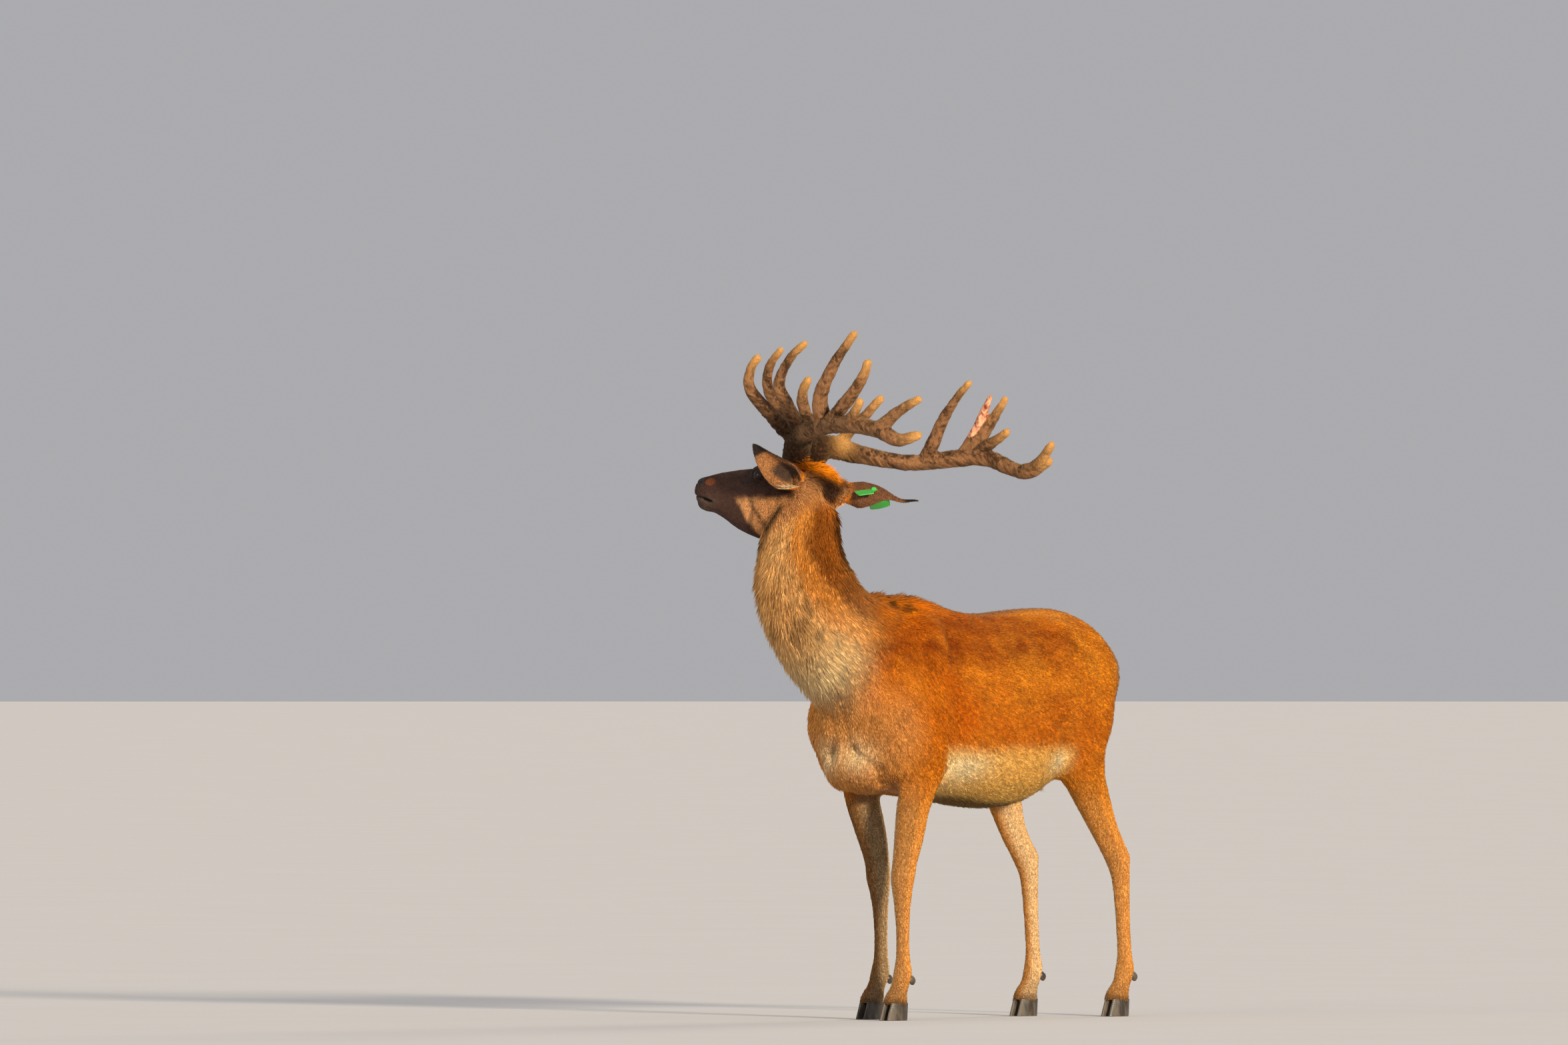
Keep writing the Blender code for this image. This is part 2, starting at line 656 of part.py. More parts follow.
def slab(centre, normal, half_across, half_along, frame=None):
    """A thin slot, square to normal, wide across the body and long along it."""
    centre, normal = Vector(centre), Vector(normal).normalized()
    if frame is not None:
        centre, normal = frame @ centre, frame.to_3x3() @ normal
    shape = bmesh.new()
    bmesh.ops.create_cube(shape, size=2.0)
    mesh = bpy.data.meshes.new("slot")
    shape.to_mesh(mesh)
    shape.free()
    side = Vector((1, 0, 0)) if frame is None else frame.to_3x3() @ Vector((1, 0, 0))
    side = (side - normal * side.dot(normal)).normalized()
    turn = Matrix((side, normal.cross(side), normal)).transposed().to_4x4()
    mesh.transform(Matrix.Translation(centre) @ turn @ Matrix.Diagonal((half_across, half_along, SLOT / 2, 1)))
    return as_cutter(linked("slot", mesh))


def grown(obj, by):
    """A copy that stands out by a little all over, to cut a pocket or a seat."""
    copy = linked(obj.name + "_room", obj.data.copy())
    wider = copy.modifiers.new("room", "DISPLACE")
    wider.strength = by
    wider.mid_level = 0
    return as_cutter(as_mesh(copy))


def largest(obj):
    """Keeps only the largest of an object's bodies."""
    shape = bmesh.new()
    shape.from_mesh(obj.data)
    best = max(islands(shape), key=len)
    bmesh.ops.delete(shape, geom=[v for v in shape.verts if v not in best], context="VERTS")
    shape.to_mesh(obj.data)
    shape.free()
    return obj


def islands(shape):
    """The sets of points that hang together."""
    left, found = set(shape.verts), []
    while left:
        group, edge = set(), [left.pop()]
        while edge:
            point = edge.pop()
            group.add(point)
            for link in point.link_edges:
                other = link.other_vert(point)
                if other in left:
                    left.discard(other)
                    edge.append(other)
        found.append(group)
    return found


def parted(obj, seeds):
    """Makes each body of an object an object of its own, named for the nearest seed."""
    shape = bmesh.new()
    shape.from_mesh(obj.data)
    made = []
    for group in sorted(islands(shape), key=lambda g: -len(g)):
        middle = np.mean([v.co for v in group], axis=0)
        name = min(seeds, key=lambda n: np.linalg.norm(middle - np.array(seeds[n])))
        piece = shape.copy()
        piece.verts.ensure_lookup_table()
        shape.verts.index_update()
        kept = {v.index for v in group}
        bmesh.ops.delete(piece, geom=[v for v in piece.verts if v.index not in kept], context="VERTS")
        mesh = bpy.data.meshes.new(name)
        piece.to_mesh(mesh)
        piece.free()
        made.append(linked(name, mesh))
    shape.free()
    bpy.data.objects.remove(obj)
    names = [o.name for o in made]
    assert sorted(names) == sorted(seeds), sorted(names)
    return made


def flat_footed(obj):
    """Cuts the legs level where the hooves begin."""
    shape = bmesh.new()
    shape.from_mesh(obj.data)
    level = HOOF_HEIGHT + SLOT
    geometry = [*shape.verts, *shape.edges, *shape.faces]
    bmesh.ops.bisect_plane(shape, geom=geometry, plane_co=(0, 0, level), plane_no=(0, 0, 1), clear_inner=True)
    bmesh.ops.holes_fill(shape, edges=[e for e in shape.edges if e.is_boundary], sides=0)
    bmesh.ops.triangulate(shape, faces=shape.faces)
    shape.to_mesh(obj.data)
    shape.free()
    return obj


def in_world(point):
    return HEAD @ Vector(point)


def leg_slots(name):
    """The cuts across one leg, and a seed in each piece of it."""
    rows = leg_rows(name)
    side = 1 if rows[0][0] > 0 else -1

    def at(height):
        order = rows[::-1]
        return np.array([np.interp(height, order[:, 2], order[:, k]) for k in (0, 1)] + [height])

    if name.startswith("fore"):
        top, middle = 0.640, 0.362
        slots = [slab(at(top), (0, 0, 1), 0.075, 0.095)]
    else:
        top, middle = 0.690, 0.385
        slots = [slab(at(top) + np.array((0.004 * side, 0.0, 0)), (0, -0.5, 0.866), 0.070, 0.125)]
    slots.append(slab(at(middle), (0, 0, 1), 0.055, 0.060))
    slots.append(slab(at(0.118), (0, 0, 1), 0.055, 0.060))
    seeds = {
        name + "_upper": at((top + middle) / 2),
        name + "_cannon": at((middle + 0.118) / 2),
        name + "_pastern": at(0.085),
    }
    return slots, seeds


# ---- the ear tag ----------------------------------------------------------------------------------------------

TAG_AT = (0.46, math.radians(-25))  # share of the right ear's length, and turn from the middle of its back
TAG_PIN = 0.0028
TAG_WIDE, TAG_LONG, TAG_THICK = 0.050, 0.066, 0.0022
BACK_ALONG, BACK_NORMAL = (-0.596, -0.791, -0.139), (0.106, -0.249, 0.963)  # how the outer flag runs, its face
BACK_ASIDE = -0.018  # how far it lies to the side of its pin
FRONT_ACROSS, FRONT_ASIDE = (0.77, 0.60, 0.20), 0.012  # the inner flag's width, and how far it hangs off its pin
FRONT_FOLD = (0.018, math.radians(66))
FRONT_NECK = 0.021


def flag(name, origin, across, along, normal, start, wide=TAG_WIDE, aside=0.0, fold=None, shoulder=0.012):
    """One half of the tag: a panel with a narrow neck, set aside from its middle, folded towards normal from a
    distance along it, by an angle."""
    neck, half, end = 0.0085, wide / 2, TAG_LONG + shoulder - 0.012
    edge = [(-half, shoulder + 0.010), (-half, end - 0.004), (-half + 0.004, end)]
    edge += [(-a, b) for a, b in reversed(edge)]
    outline = [(-aside - neck, 0), (-aside - neck, shoulder), *edge, (-aside + neck, shoulder), (-aside + neck, 0)]
    curve = bpy.data.curves.new(name, "CURVE")
    curve.dimensions = "2D"
    curve.fill_mode = "BOTH"
    curve.extrude = TAG_THICK / 2
    line = curve.splines.new("POLY")
    line.points.add(len(outline) - 1)
    for point, (x, y) in zip(line.points, outline):
        point.co = (x, y + start, 0, 1)
    line.use_cyclic_u = True
    flat = as_mesh(linked(name, curve))
    shape = bmesh.new()
    shape.from_mesh(flat.data)
    bmesh.ops.remove_doubles(shape, verts=shape.verts, dist=1e-6)
    if fold:
        begin, angle = fold
        for share in (0, 0.25, 0.5, 0.75, 1):
            everything = [*shape.verts, *shape.edges, *shape.faces]
            bmesh.ops.bisect_plane(shape, geom=everything, plane_co=(0, begin + 0.010 * share, 0), plane_no=(0, 1, 0))
        bend = 0.010 / angle
        for point in shape.verts:
            x, y, z = point.co
            turned = angle * min(max((y - begin) / 0.010, 0), 1)
            beyond = max(y - begin - 0.010, 0)
            y = min(y, begin) + bend * math.sin(turned) + beyond * math.cos(turned) - z * math.sin(turned)
            point.co = (x, y, bend * (1 - math.cos(turned)) + beyond * math.sin(turned) + z * math.cos(turned))
    shape.to_mesh(flat.data)
    shape.free()
    turn = Matrix((across, along, normal)).transposed().to_4x4()
    flat.data.transform(Matrix.Translation(origin) @ turn)
    return flat


def rod(name, start, end, radius, sides=16):
    """A straight round pin."""
    start, end = Vector(start), Vector(end)
    shape = bmesh.new()
    bmesh.ops.create_cone(shape, cap_ends=True, segments=sides, radius1=radius, radius2=radius,
                          depth=(end - start).length)
    mesh = bpy.data.meshes.new(name)
    shape.to_mesh(mesh)
    shape.free()
    turn = (end - start).to_track_quat("Z", "Y").to_matrix().to_4x4()
    mesh.transform(Matrix.Translation((start + end) / 2) @ turn)
    return linked(name, mesh)


def fused(base, other):
    union = base.modifiers.new("fuse", "BOOLEAN")
    union.operation = "UNION"
    union.solver = "EXACT"
    union.object = other
    made = as_mesh(base)
    bpy.data.objects.remove(other)
    return made


def ear_tag(ear_piece):
    """Two green flags on one pin through the right ear: one lies on its back, one hangs out of its hollow."""
    local, outward = ear_wall("ear_right", *TAG_AT)
    turn = HEAD.to_3x3()
    pin_at, normal = HEAD @ Vector(local), (turn @ Vector(outward)).normalized()
    back_at = pin_at + normal * 0.0090
    along = Vector(BACK_ALONG).normalized()
    face = (Vector(BACK_NORMAL) - along * along.dot(Vector(BACK_NORMAL))).normalized()
    across = along.cross(face)
    back = flag("tag_back", back_at + across * BACK_ASIDE, across, along, face, -0.0085, TAG_WIDE, BACK_ASIDE)
    back = fused(back, rod("button", back_at - normal * 0.0005, back_at + normal * 0.0042, 0.0075))
    back = cut(back, as_cutter(rod("bore", back_at - normal * 0.004, back_at + normal * 0.0022, TAG_PIN + FIT)))

    low = pin_at - normal * 0.0165
    level = Vector(FRONT_ACROSS).normalized()
    hanging = (Vector((0, 0, -1)) - level * -level.z).normalized()
    front = flag("tag_front", low + level * FRONT_ASIDE, level, hanging, level.cross(hanging), -0.0070, 0.060,
                 FRONT_ASIDE, FRONT_FOLD, FRONT_NECK)
    front = fused(front, rod("pin", low - normal * 0.0010, back_at + normal * 0.0016, TAG_PIN))
    ear_piece = cut(ear_piece, as_cutter(rod("hole", low, back_at, TAG_PIN + FIT)))
    return ear_piece, back, front


# ---- the stag -------------------------------------------------------------------------------------------------

skin = flat_footed(body())

eyes = {}
for name, sign in (("eye_left", 1), ("eye_right", -1)):
    eyes[name] = in_head(bulge(name, (sign * EYE[0], EYE[1], EYE[2]), (EYE_RADIUS,) * 3, (0, 0, 0), 12, 8))
claws = {}
for leg in LEGS:
    for outer, place in ((0, "inner" if leg.endswith("left") else "outer"),
                         (1, "outer" if leg.endswith("left") else "inner")):
        hoof(f"hoof_{leg[:4]}_{leg[8:]}_{place}", leg, outer)
        peg = f"dewclaw_{leg[:4]}_{leg[8:]}_{place}"
        claws[peg] = dewclaw(peg, leg, outer)
for piece in (*eyes.values(), *claws.values()):
    skin = cut(skin, grown(piece, FIT))

whole = grown(skin, FIT)
seated = {}
for obj in (
    ear("ear_left"),
    ear("ear_right"),
    swept("tail", TAIL, (1, 0, 0), 9, 12),
    thinned(softened(grown_together(antler("left"), ANTLER_VOXEL), 2), ANTLER_FACES),
    thinned(softened(grown_together(antler("right"), ANTLER_VOXEL), 2), ANTLER_FACES),
):
    name = obj.name
    room = as_cutter(linked("room", whole.data.copy()))
    seated[name] = largest(cut(obj, room))
bpy.data.objects.remove(whole)
ear_tag(seated["ear_right"])

slots = [
    slab((0, -0.040, -0.060), (0, -0.743, 0.669), 0.150, 0.190, HEAD),
    slab((-0.024, -0.345, 1.255), (-0.08, -0.465, 0.88), 0.160, 0.200),
    slab((0, -0.215, 1.090), (0, -0.889, 0.458), 0.200, 0.245),
]
seeds = {
    "head": in_world((0, -0.150, 0.0)),
    "neck_upper": (-0.028, -0.360, 1.340),
    "neck_lower": (-0.010, -0.270, 1.160),
    "trunk": (0, 0.35, 0.92),
}
for name in LEGS:
    more_slots, more_seeds = leg_slots(name)
    slots += more_slots
    seeds.update(more_seeds)
for slot in slots:
    skin = cut(skin, slot)
parted(skin, seeds)

for side, cuts in {
    "left": [((0.150, 0.030, 0.221), (0.70, 0.70, 0.14)), ((0.318, 0.322, 0.250), (0.25, 0.96, -0.03))],
    "right": [((-0.205, 0.066, 0.187), (-0.75, 0.66, 0)), ((-0.316, 0.196, 0.212), (-0.58, 0.77, 0.27)),
              ((-0.365, 0.380, 0.229), (0, 0.98, -0.20))],
}.items():
    piece = seated["antler_" + side]
    for centre, normal in cuts:
        piece = cut(piece, slab(centre, normal, 0.045, 0.045, HEAD))
    sign = 1 if side == "left" else -1
    names = {"base": (0.090, -0.060, 0.250), "middle": (0.270, 0.190, 0.290), "crown": (0.330, 0.440, 0.270)}
    if side == "right":
        names = {"base": (0.090, -0.060, 0.250), "middle": (0.270, 0.160, 0.260),
                 "crown": (0.350, 0.290, 0.290), "end": (0.340, 0.480, 0.240)}
    parted(piece, {f"antler_{side}_{k}": in_world((v[0] * sign, v[1], v[2])) for k, v in names.items()})

# ---- looks and place ------------------------------------------------------------------------------------------

# What each piece is made of, by the start of its name: colour, roughness
LOOKS = {
    "trunk": ((0.42, 0.16, 0.045), 0.80),
    "neck": ((0.44, 0.25, 0.12), 0.80),
    "head": ((0.22, 0.13, 0.085), 0.75),
    "tail": ((0.40, 0.19, 0.07), 0.80),
    "ear": ((0.24, 0.15, 0.10), 0.80),
    "foreleg": ((0.33, 0.21, 0.13), 0.80),
    "hindleg": ((0.34, 0.20, 0.11), 0.80),
    "antler": ((0.28, 0.19, 0.11), 0.85),
    "eye": ((0.015, 0.010, 0.008), 0.10),
    "hoof": ((0.050, 0.042, 0.036), 0.45),
    "dewclaw": ((0.050, 0.042, 0.036), 0.45),
    "tag": ((0.06, 0.62, 0.09), 0.40),
}

pieces = list(STAG.objects)
corners = np.array([v.co for piece in pieces for v in piece.data.vertices])
middle = (corners.min(axis=0) + corners.max(axis=0)) / 2
home = bpy.data.objects.new("stag", None)
STAG.objects.link(home)
for piece in pieces:
    colour, rough = next(look for start, look in LOOKS.items() if piece.name.startswith(start))
    material = bpy.data.materials.new(piece.name)
    material.use_nodes = True
    shader = material.node_tree.nodes["Principled BSDF"]
    shader.inputs["Base Color"].default_value = (*colour, 1)
    shader.inputs["Roughness"].default_value = rough
    shader.inputs["Metallic"].default_value = 0.0
    material.diffuse_color = (*colour, 1)
    piece.data.materials.clear()
    piece.data.materials.append(material)
    piece.data.shade_smooth()
    piece.data.set_sharp_from_angle(angle=math.radians(50))
    piece.data.transform(Matrix.Translation((-middle[0], -middle[1], 0)))
    piece.parent = home
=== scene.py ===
"""Looks of a life-size red deer stag in velvet, standing with its head raised and turned to its right.

Metres, +Z up. Shapes are made in the maker's own axes, where the stag's midline is x = 0 and its withers are
near y = 0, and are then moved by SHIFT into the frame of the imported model.
"""

import math

import bmesh
import bpy
import numpy as np
from mathutils import Matrix, Vector, noise


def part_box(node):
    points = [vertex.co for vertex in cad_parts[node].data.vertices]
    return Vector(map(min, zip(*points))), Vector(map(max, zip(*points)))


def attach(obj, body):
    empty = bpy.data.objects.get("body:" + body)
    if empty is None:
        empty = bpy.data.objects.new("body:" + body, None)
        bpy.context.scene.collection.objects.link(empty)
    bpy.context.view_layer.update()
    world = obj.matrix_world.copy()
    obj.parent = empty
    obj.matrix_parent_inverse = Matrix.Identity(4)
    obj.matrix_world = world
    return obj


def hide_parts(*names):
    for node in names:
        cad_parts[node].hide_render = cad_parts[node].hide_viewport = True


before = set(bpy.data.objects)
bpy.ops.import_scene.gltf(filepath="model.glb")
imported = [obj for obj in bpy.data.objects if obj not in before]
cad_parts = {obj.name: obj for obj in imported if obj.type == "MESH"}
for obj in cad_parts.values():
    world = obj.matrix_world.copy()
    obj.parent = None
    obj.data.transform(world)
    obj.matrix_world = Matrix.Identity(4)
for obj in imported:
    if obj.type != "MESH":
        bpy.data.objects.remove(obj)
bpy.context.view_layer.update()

# ---- flesh ---------------------------------------------------------------------------------------
# The stag's body: trunk, neck, head and legs as one skin over muscle and bone. It is made as lofted masses
# grown together and evened out, and lies inside the outline by the depth of the coat.

WITHERS = 1.25  # height of the withers
RUMP = 0.978  # how far behind the withers the buttocks reach
BELLY = 0.615  # height of the lowest point of the belly
HEAD_ORIGIN = (-0.020, -0.325, 1.490)  # joint of skull and neck
HEAD_TURN = (-7.5, -7.0, -85.0)  # degrees: nose up, right side down, turned to the stag's right
EYE = (0.066, -0.170, 0.072)  # left eyeball's centre, in the head's own axes
EYE_RADIUS = 0.019
FLESH_VOXEL = 0.0083
EVENINGS = 40  # how often the grown flesh is evened out
SOLES = 0.049  # height at which the flesh ends, inside the hooves

HEAD = (
    Matrix.Translation(HEAD_ORIGIN)
    @ Matrix.Rotation(math.radians(HEAD_TURN[2]), 4, "Z")
    @ Matrix.Rotation(math.radians(HEAD_TURN[0]), 4, "X")
    @ Matrix.Rotation(math.radians(HEAD_TURN[1]), 4, "Y")
)
HEAD_AXES = np.array(HEAD.to_3x3())
SHIFT = sum(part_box("eye_left"), Vector()) / 2 - HEAD @ Vector(EYE)

# y, height of the back, height of the underline, half width, how much wider below than above
TRUNK = [
    (-0.245, 0.985, 0.800, 0.075, 0.00),
    (-0.190, 1.090, 0.725, 0.135, 0.00),
    (-0.100, 1.180, 0.675, 0.170, 0.08),
    (0.010, WITHERS - 0.020, 0.655, 0.190, 0.22),
    (0.110, WITHERS - 0.012, 0.647, 0.203, 0.28),
    (0.220, 1.212, 0.635, 0.216, 0.24),
    (0.340, 1.194, 0.620, 0.229, 0.16),
    (0.450, 1.194, BELLY, 0.233, 0.12),
    (0.550, 1.201, 0.630, 0.226, 0.08),
    (0.650, 1.207, 0.672, 0.208, 0.02),
    (0.750, 1.204, 0.728, 0.194, -0.02),
    (0.840, 1.182, 0.790, 0.176, 0.00),
    (0.915, 1.135, 0.850, 0.146, 0.00),
    (0.960, 1.070, 0.920, 0.095, 0.00),
    (RUMP, 1.010, 0.965, 0.035, 0.00),
]

# x, y, z, half width, half depth from throat to nape, degrees that the neck has turned by there
NECK = [
    (0.000, 0.030, 0.985, 0.150, 0.215, 0),
    (-0.002, -0.092, 1.020, 0.145, 0.205, 0),
    (-0.008, -0.204, 1.082, 0.130, 0.188, -6),
    (-0.025, -0.311, 1.180, 0.117, 0.167, -22),
    (-0.033, -0.367, 1.290, 0.106, 0.148, -46),
    (-0.032, -0.377, 1.390, 0.093, 0.127, -68),
    (-0.028, -0.352, 1.470, 0.082, 0.110, -82),
    (-0.020, -0.325, 1.520, 0.066, 0.086, -85),
]

# x, y, z, half width, half depth
FORELEG = [
    (0.130, 0.020, 0.860, 0.055, 0.110),
    (0.145, -0.005, 0.780, 0.056, 0.098),
    (0.134, -0.020, 0.710, 0.051, 0.074),
    (0.123, -0.045, 0.635, 0.0455, 0.060),
    (0.112, -0.053, 0.540, 0.0405, 0.052),
    (0.101, -0.059, 0.465, 0.0345, 0.0435),
    (0.095, -0.063, 0.412, 0.0350, 0.0405),
    (0.092, -0.060, 0.360, 0.0275, 0.0320),
    (0.091, -0.057, 0.280, 0.0205, 0.0260),
    (0.091, -0.056, 0.190, 0.0205, 0.0255),
    (0.092, -0.058, 0.137, 0.0285, 0.0320),
    (0.093, -0.076, 0.095, 0.0265, 0.0280),
    (0.094, -0.092, 0.062, 0.0345, 0.0385),
    (0.094, -0.096, 0.050, 0.0345, 0.0400),
    (0.094, -0.101, 0.030, 0.0345, 0.0400),
]
HINDLEG = [
    (0.100, 0.735, 1.060, 0.070, 0.150),
    (0.126, 0.740, 0.960, 0.074, 0.158),
    (0.144, 0.715, 0.860, 0.072, 0.148),
    (0.148, 0.715, 0.780, 0.062, 0.122),
    (0.143, 0.752, 0.715, 0.053, 0.088),
    (0.134, 0.803, 0.640, 0.043, 0.066),
    (0.128, 0.866, 0.550, 0.0330, 0.050),
    (0.125, 0.915, 0.490, 0.0320, 0.045),
    (0.124, 0.938, 0.452, 0.0320, 0.0415),
    (0.124, 0.950, 0.400, 0.0255, 0.0330),
    (0.124, 0.959, 0.290, 0.0215, 0.0270),
    (0.124, 0.967, 0.190, 0.0215, 0.0265),
    (0.124, 0.969, 0.137, 0.0290, 0.0330),
    (0.124, 0.951, 0.095, 0.0265, 0.0285),
    (0.124, 0.934, 0.062, 0.0350, 0.0395),
    (0.124, 0.930, 0.050, 0.0350, 0.0410),
    (0.124, 0.925, 0.030, 0.0350, 0.0410),
]
# name: side, rows, how far the foot is set behind the rows' own place, and from which height down it swings
LEGS = {
    "foreleg_left": (1, FORELEG, 0.0, 0.80, 0.42),
    "foreleg_right": (-1, FORELEG, 0.130, 0.90, 0.42),
    "hindleg_left": (1, HINDLEG, 0.0, 0.90, 0.48),
    "hindleg_right": (-1, HINDLEG, -0.120, 0.90, 0.48),
}

# y (the nose is at -0.412), height above and depth below the head's axis, half width, squareness, pear
SKULL = [
    (0.035, 0.070, 0.075, 0.058, 2.0, 0.00),
    (-0.005, 0.096, 0.100, 0.074, 2.1, 0.00),
    (-0.060, 0.107, 0.116, 0.081, 2.2, -0.02),
    (-0.120, 0.109, 0.117, 0.080, 2.3, -0.08),
    (-0.170, 0.106, 0.110, 0.076, 2.4, -0.16),
    (-0.215, 0.099, 0.102, 0.066, 2.4, -0.15),
    (-0.260, 0.090, 0.089, 0.055, 2.3, -0.08),
    (-0.305, 0.080, 0.068, 0.047, 2.3, 0.00),
    (-0.340, 0.070, 0.056, 0.0435, 2.4, 0.00),
    (-0.368, 0.060, 0.048, 0.0425, 2.5, 0.00),
    (-0.388, 0.050, 0.038, 0.0390, 2.5, 0.00),
    (-0.402, 0.038, 0.026, 0.0310, 2.4, 0.00),
    (-0.412, 0.018, 0.012, 0.0160, 2.2, 0.00),
]


def linked(name, mesh):
    """A new object for this mesh."""
    obj = bpy.data.objects.new(name, mesh)
    bpy.context.scene.collection.objects.link(obj)
    return obj


def as_object(name, shape):
    """A new object of a shape in the making."""
    mesh = bpy.data.meshes.new(name)
    shape.to_mesh(mesh)
    shape.free()
    return linked(name, mesh)


def opened(obj):
    """An object's mesh as a shape in the making."""
    shape = bmesh.new()
    shape.from_mesh(obj.data)
    return shape


def put_back(shape, obj):
    shape.to_mesh(obj.data)
    shape.free()


def taken(items, name, width=1, kind=np.float32):
    """The same value, or row of values, of every item."""
    values = np.empty(len(items) * width, kind)
    items.foreach_get(name, values)
    return values if width == 1 else values.reshape(-1, width)


def spline(rows, count):
    """A Catmull-Rom curve through rows of any width, as count rows evenly spread along the rows' index."""
    rows = np.array(rows, float)
    padded = np.vstack([2 * rows[0] - rows[1], rows, 2 * rows[-1] - rows[-2]])
    at = np.linspace(0, len(rows) - 1, count)
    left = np.minimum(at.astype(int), len(rows) - 2)
    t = (at - left)[:, None]
    a, b, c, d = (padded[left + k] for k in range(4))
    return 0.5 * (2 * b + (c - a) * t + (2 * a - 5 * b + 4 * c - d) * t**2 + (3 * b - a - 3 * c + d) * t**3)


def unit(vectors):
    vectors = np.asarray(vectors, float)
    return vectors / np.linalg.norm(vectors, axis=-1, keepdims=True)


def heading_of(line):
    return unit(np.gradient(line, axis=0))


def run_of(line):
    """How far along its line each point is."""
    return np.concatenate([[0], np.cumsum(np.linalg.norm(np.diff(line, axis=0), axis=1))])


def square_to(heading, way):
    """The part of one way that is square to another."""
    return unit(np.array(way) - heading * (heading @ np.array(way))[..., None])


def section(centre, side, up, width, rise, drop, square=2.0, pear=0.0, sides=36):
    """A closed outline: half width, height above and depth below its centre, squarer with square over 2, and
    with pear over 0 wider below than above."""
    turn = np.linspace(0, 2 * math.pi, sides, endpoint=False)
    across = np.sign(np.cos(turn)) * np.abs(np.cos(turn)) ** (2 / square)
    along = np.sign(np.sin(turn)) * np.abs(np.sin(turn)) ** (2 / square)
    across = across * width * (1 - pear * along)
    along = along * np.where(along > 0, rise, drop)
    return np.asarray(centre) + np.outer(across, side) + np.outer(along, up)


def loft(name, rings, endless=False):
    """A body through like-numbered outlines: closed at both ends, or endless, from the last to the first."""
    shape = bmesh.new()
    rows = [[shape.verts.new(p) for p in ring] for ring in np.array(rings)]
    sides = len(rows[0])
    for low, high in zip(rows, rows[1:] + rows[:1] if endless else rows[1:]):
        for k in range(sides):
            n = (k + 1) % sides
            shape.faces.new((low[k], low[n], high[n], high[k]))
    if not endless:
        shape.faces.new(rows[0])
        shape.faces.new(reversed(rows[-1]))
    bmesh.ops.recalc_face_normals(shape, faces=shape.faces)
    return as_object(name, shape)


def swept(name, rows, left, count=26, sides=36):
    """A limb: rows of x, y, z, half width and half depth, its widths along left, square to its own line."""
    rows = spline(rows, count)
    heading = heading_of(rows[:, :3])
    side = square_to(heading, left)
    frames = zip(rows, side, np.cross(heading, side))
    return loft(name, [section(r[:3], s, d, r[3], r[4], r[4], sides=sides) for r, s, d in frames])


def bulge(name, centre, radii, turn=(0, 0, 0), sides=28, rows=18):
    """An ellipsoid."""
    shape = bmesh.new()
    bmesh.ops.create_uvsphere(shape, u_segments=sides, v_segments=rows, radius=1.0)
    obj = as_object(name, shape)
    spin = Matrix.Rotation(math.radians(turn[2]), 4, "Z") @ Matrix.Rotation(math.radians(turn[0]), 4, "X")
    obj.data.transform(Matrix.Translation(centre) @ spin @ Matrix.Diagonal((*radii, 1)))
    return obj


def as_mesh(obj):
    """Turns an object with its modifiers, or a curve, into a plain mesh object."""
    bpy.context.view_layer.update()
    mesh = bpy.data.meshes.new_from_object(obj.evaluated_get(bpy.context.evaluated_depsgraph_get()))
    mesh.transform(obj.matrix_world)
    name = obj.name
    bpy.data.objects.remove(obj)
    return linked(name, mesh)


def joined(name, objects):
    """One object of several."""
    shape = bmesh.new()
    for obj in [as_mesh(o) for o in objects]:
        shape.from_mesh(obj.data)
        bpy.data.objects.remove(obj)
    bmesh.ops.remove_doubles(shape, verts=shape.verts, dist=1e-6)
    return as_object(name, shape)


def grown_together(obj, voxel):
    """The union of overlapping bodies as one skin."""
    remesh = obj.modifiers.new("skin", "REMESH")
    remesh.mode = "VOXEL"
    remesh.voxel_size = voxel
    return as_mesh(obj)


def step(low, high, value):
    """0 at low, 1 at high, and an even rise between; low may be the larger."""
    share = np.clip((value - low) / (high - low), 0, 1)
    return share * share * (3 - 2 * share)


def places_of(mesh):
    return taken(mesh.vertices, "co", 3, float)


def normals_of(mesh):
    return taken(mesh.vertex_normals, "vector", 3).astype(float)


def settle(mesh, places):
    mesh.vertices.foreach_set("co", places.astype(np.float32).ravel())
    mesh.update()


def evened(mesh, rounds, weight, pull=0.5):
    """Moves each point towards the middle of its neighbours, as strongly as weight says."""
    a, b = taken(mesh.edges, "vertices", 2, np.int64).T
    places = places_of(mesh)
    count = np.bincount(a, minlength=len(places)) + np.bincount(b, minlength=len(places))
    for _ in range(rounds):
        total = np.stack([
            np.bincount(a, places[b, k], len(places)) + np.bincount(b, places[a, k], len(places))
            for k in range(3)
        ], 1)
        places += (pull * weight)[:, None] * (total / count[:, None] - places)
    settle(mesh, places)


def trunk():
    rings = []
    for y, back, belly, width, pear in spline(TRUNK, 44):
        half = (back - belly) / 2
        rings.append(section((0, y, belly + half), (1, 0, 0), (0, 0, 1), width, half, half, 2.15, pear))
    return loft("barrel", rings)


def neck_line(count):
    """The neck's rows, its heading, and its own left and nape directions, from the trunk up."""
    rows = spline(NECK, count)
    heading = heading_of(rows[:, :3])
    turn = np.radians(rows[:, 5])
    left = np.stack([np.cos(turn), np.sin(turn), 0 * turn], 1)
    left = unit(left - heading * (left * heading).sum(1)[:, None])
    return rows, heading, left, np.cross(heading, left)


def neck():
    rows, _, left, back = neck_line(30)
    return loft("neck", [section(r[:3], s, b, r[3], r[4], r[4]) for r, s, b in zip(rows, left, back)])


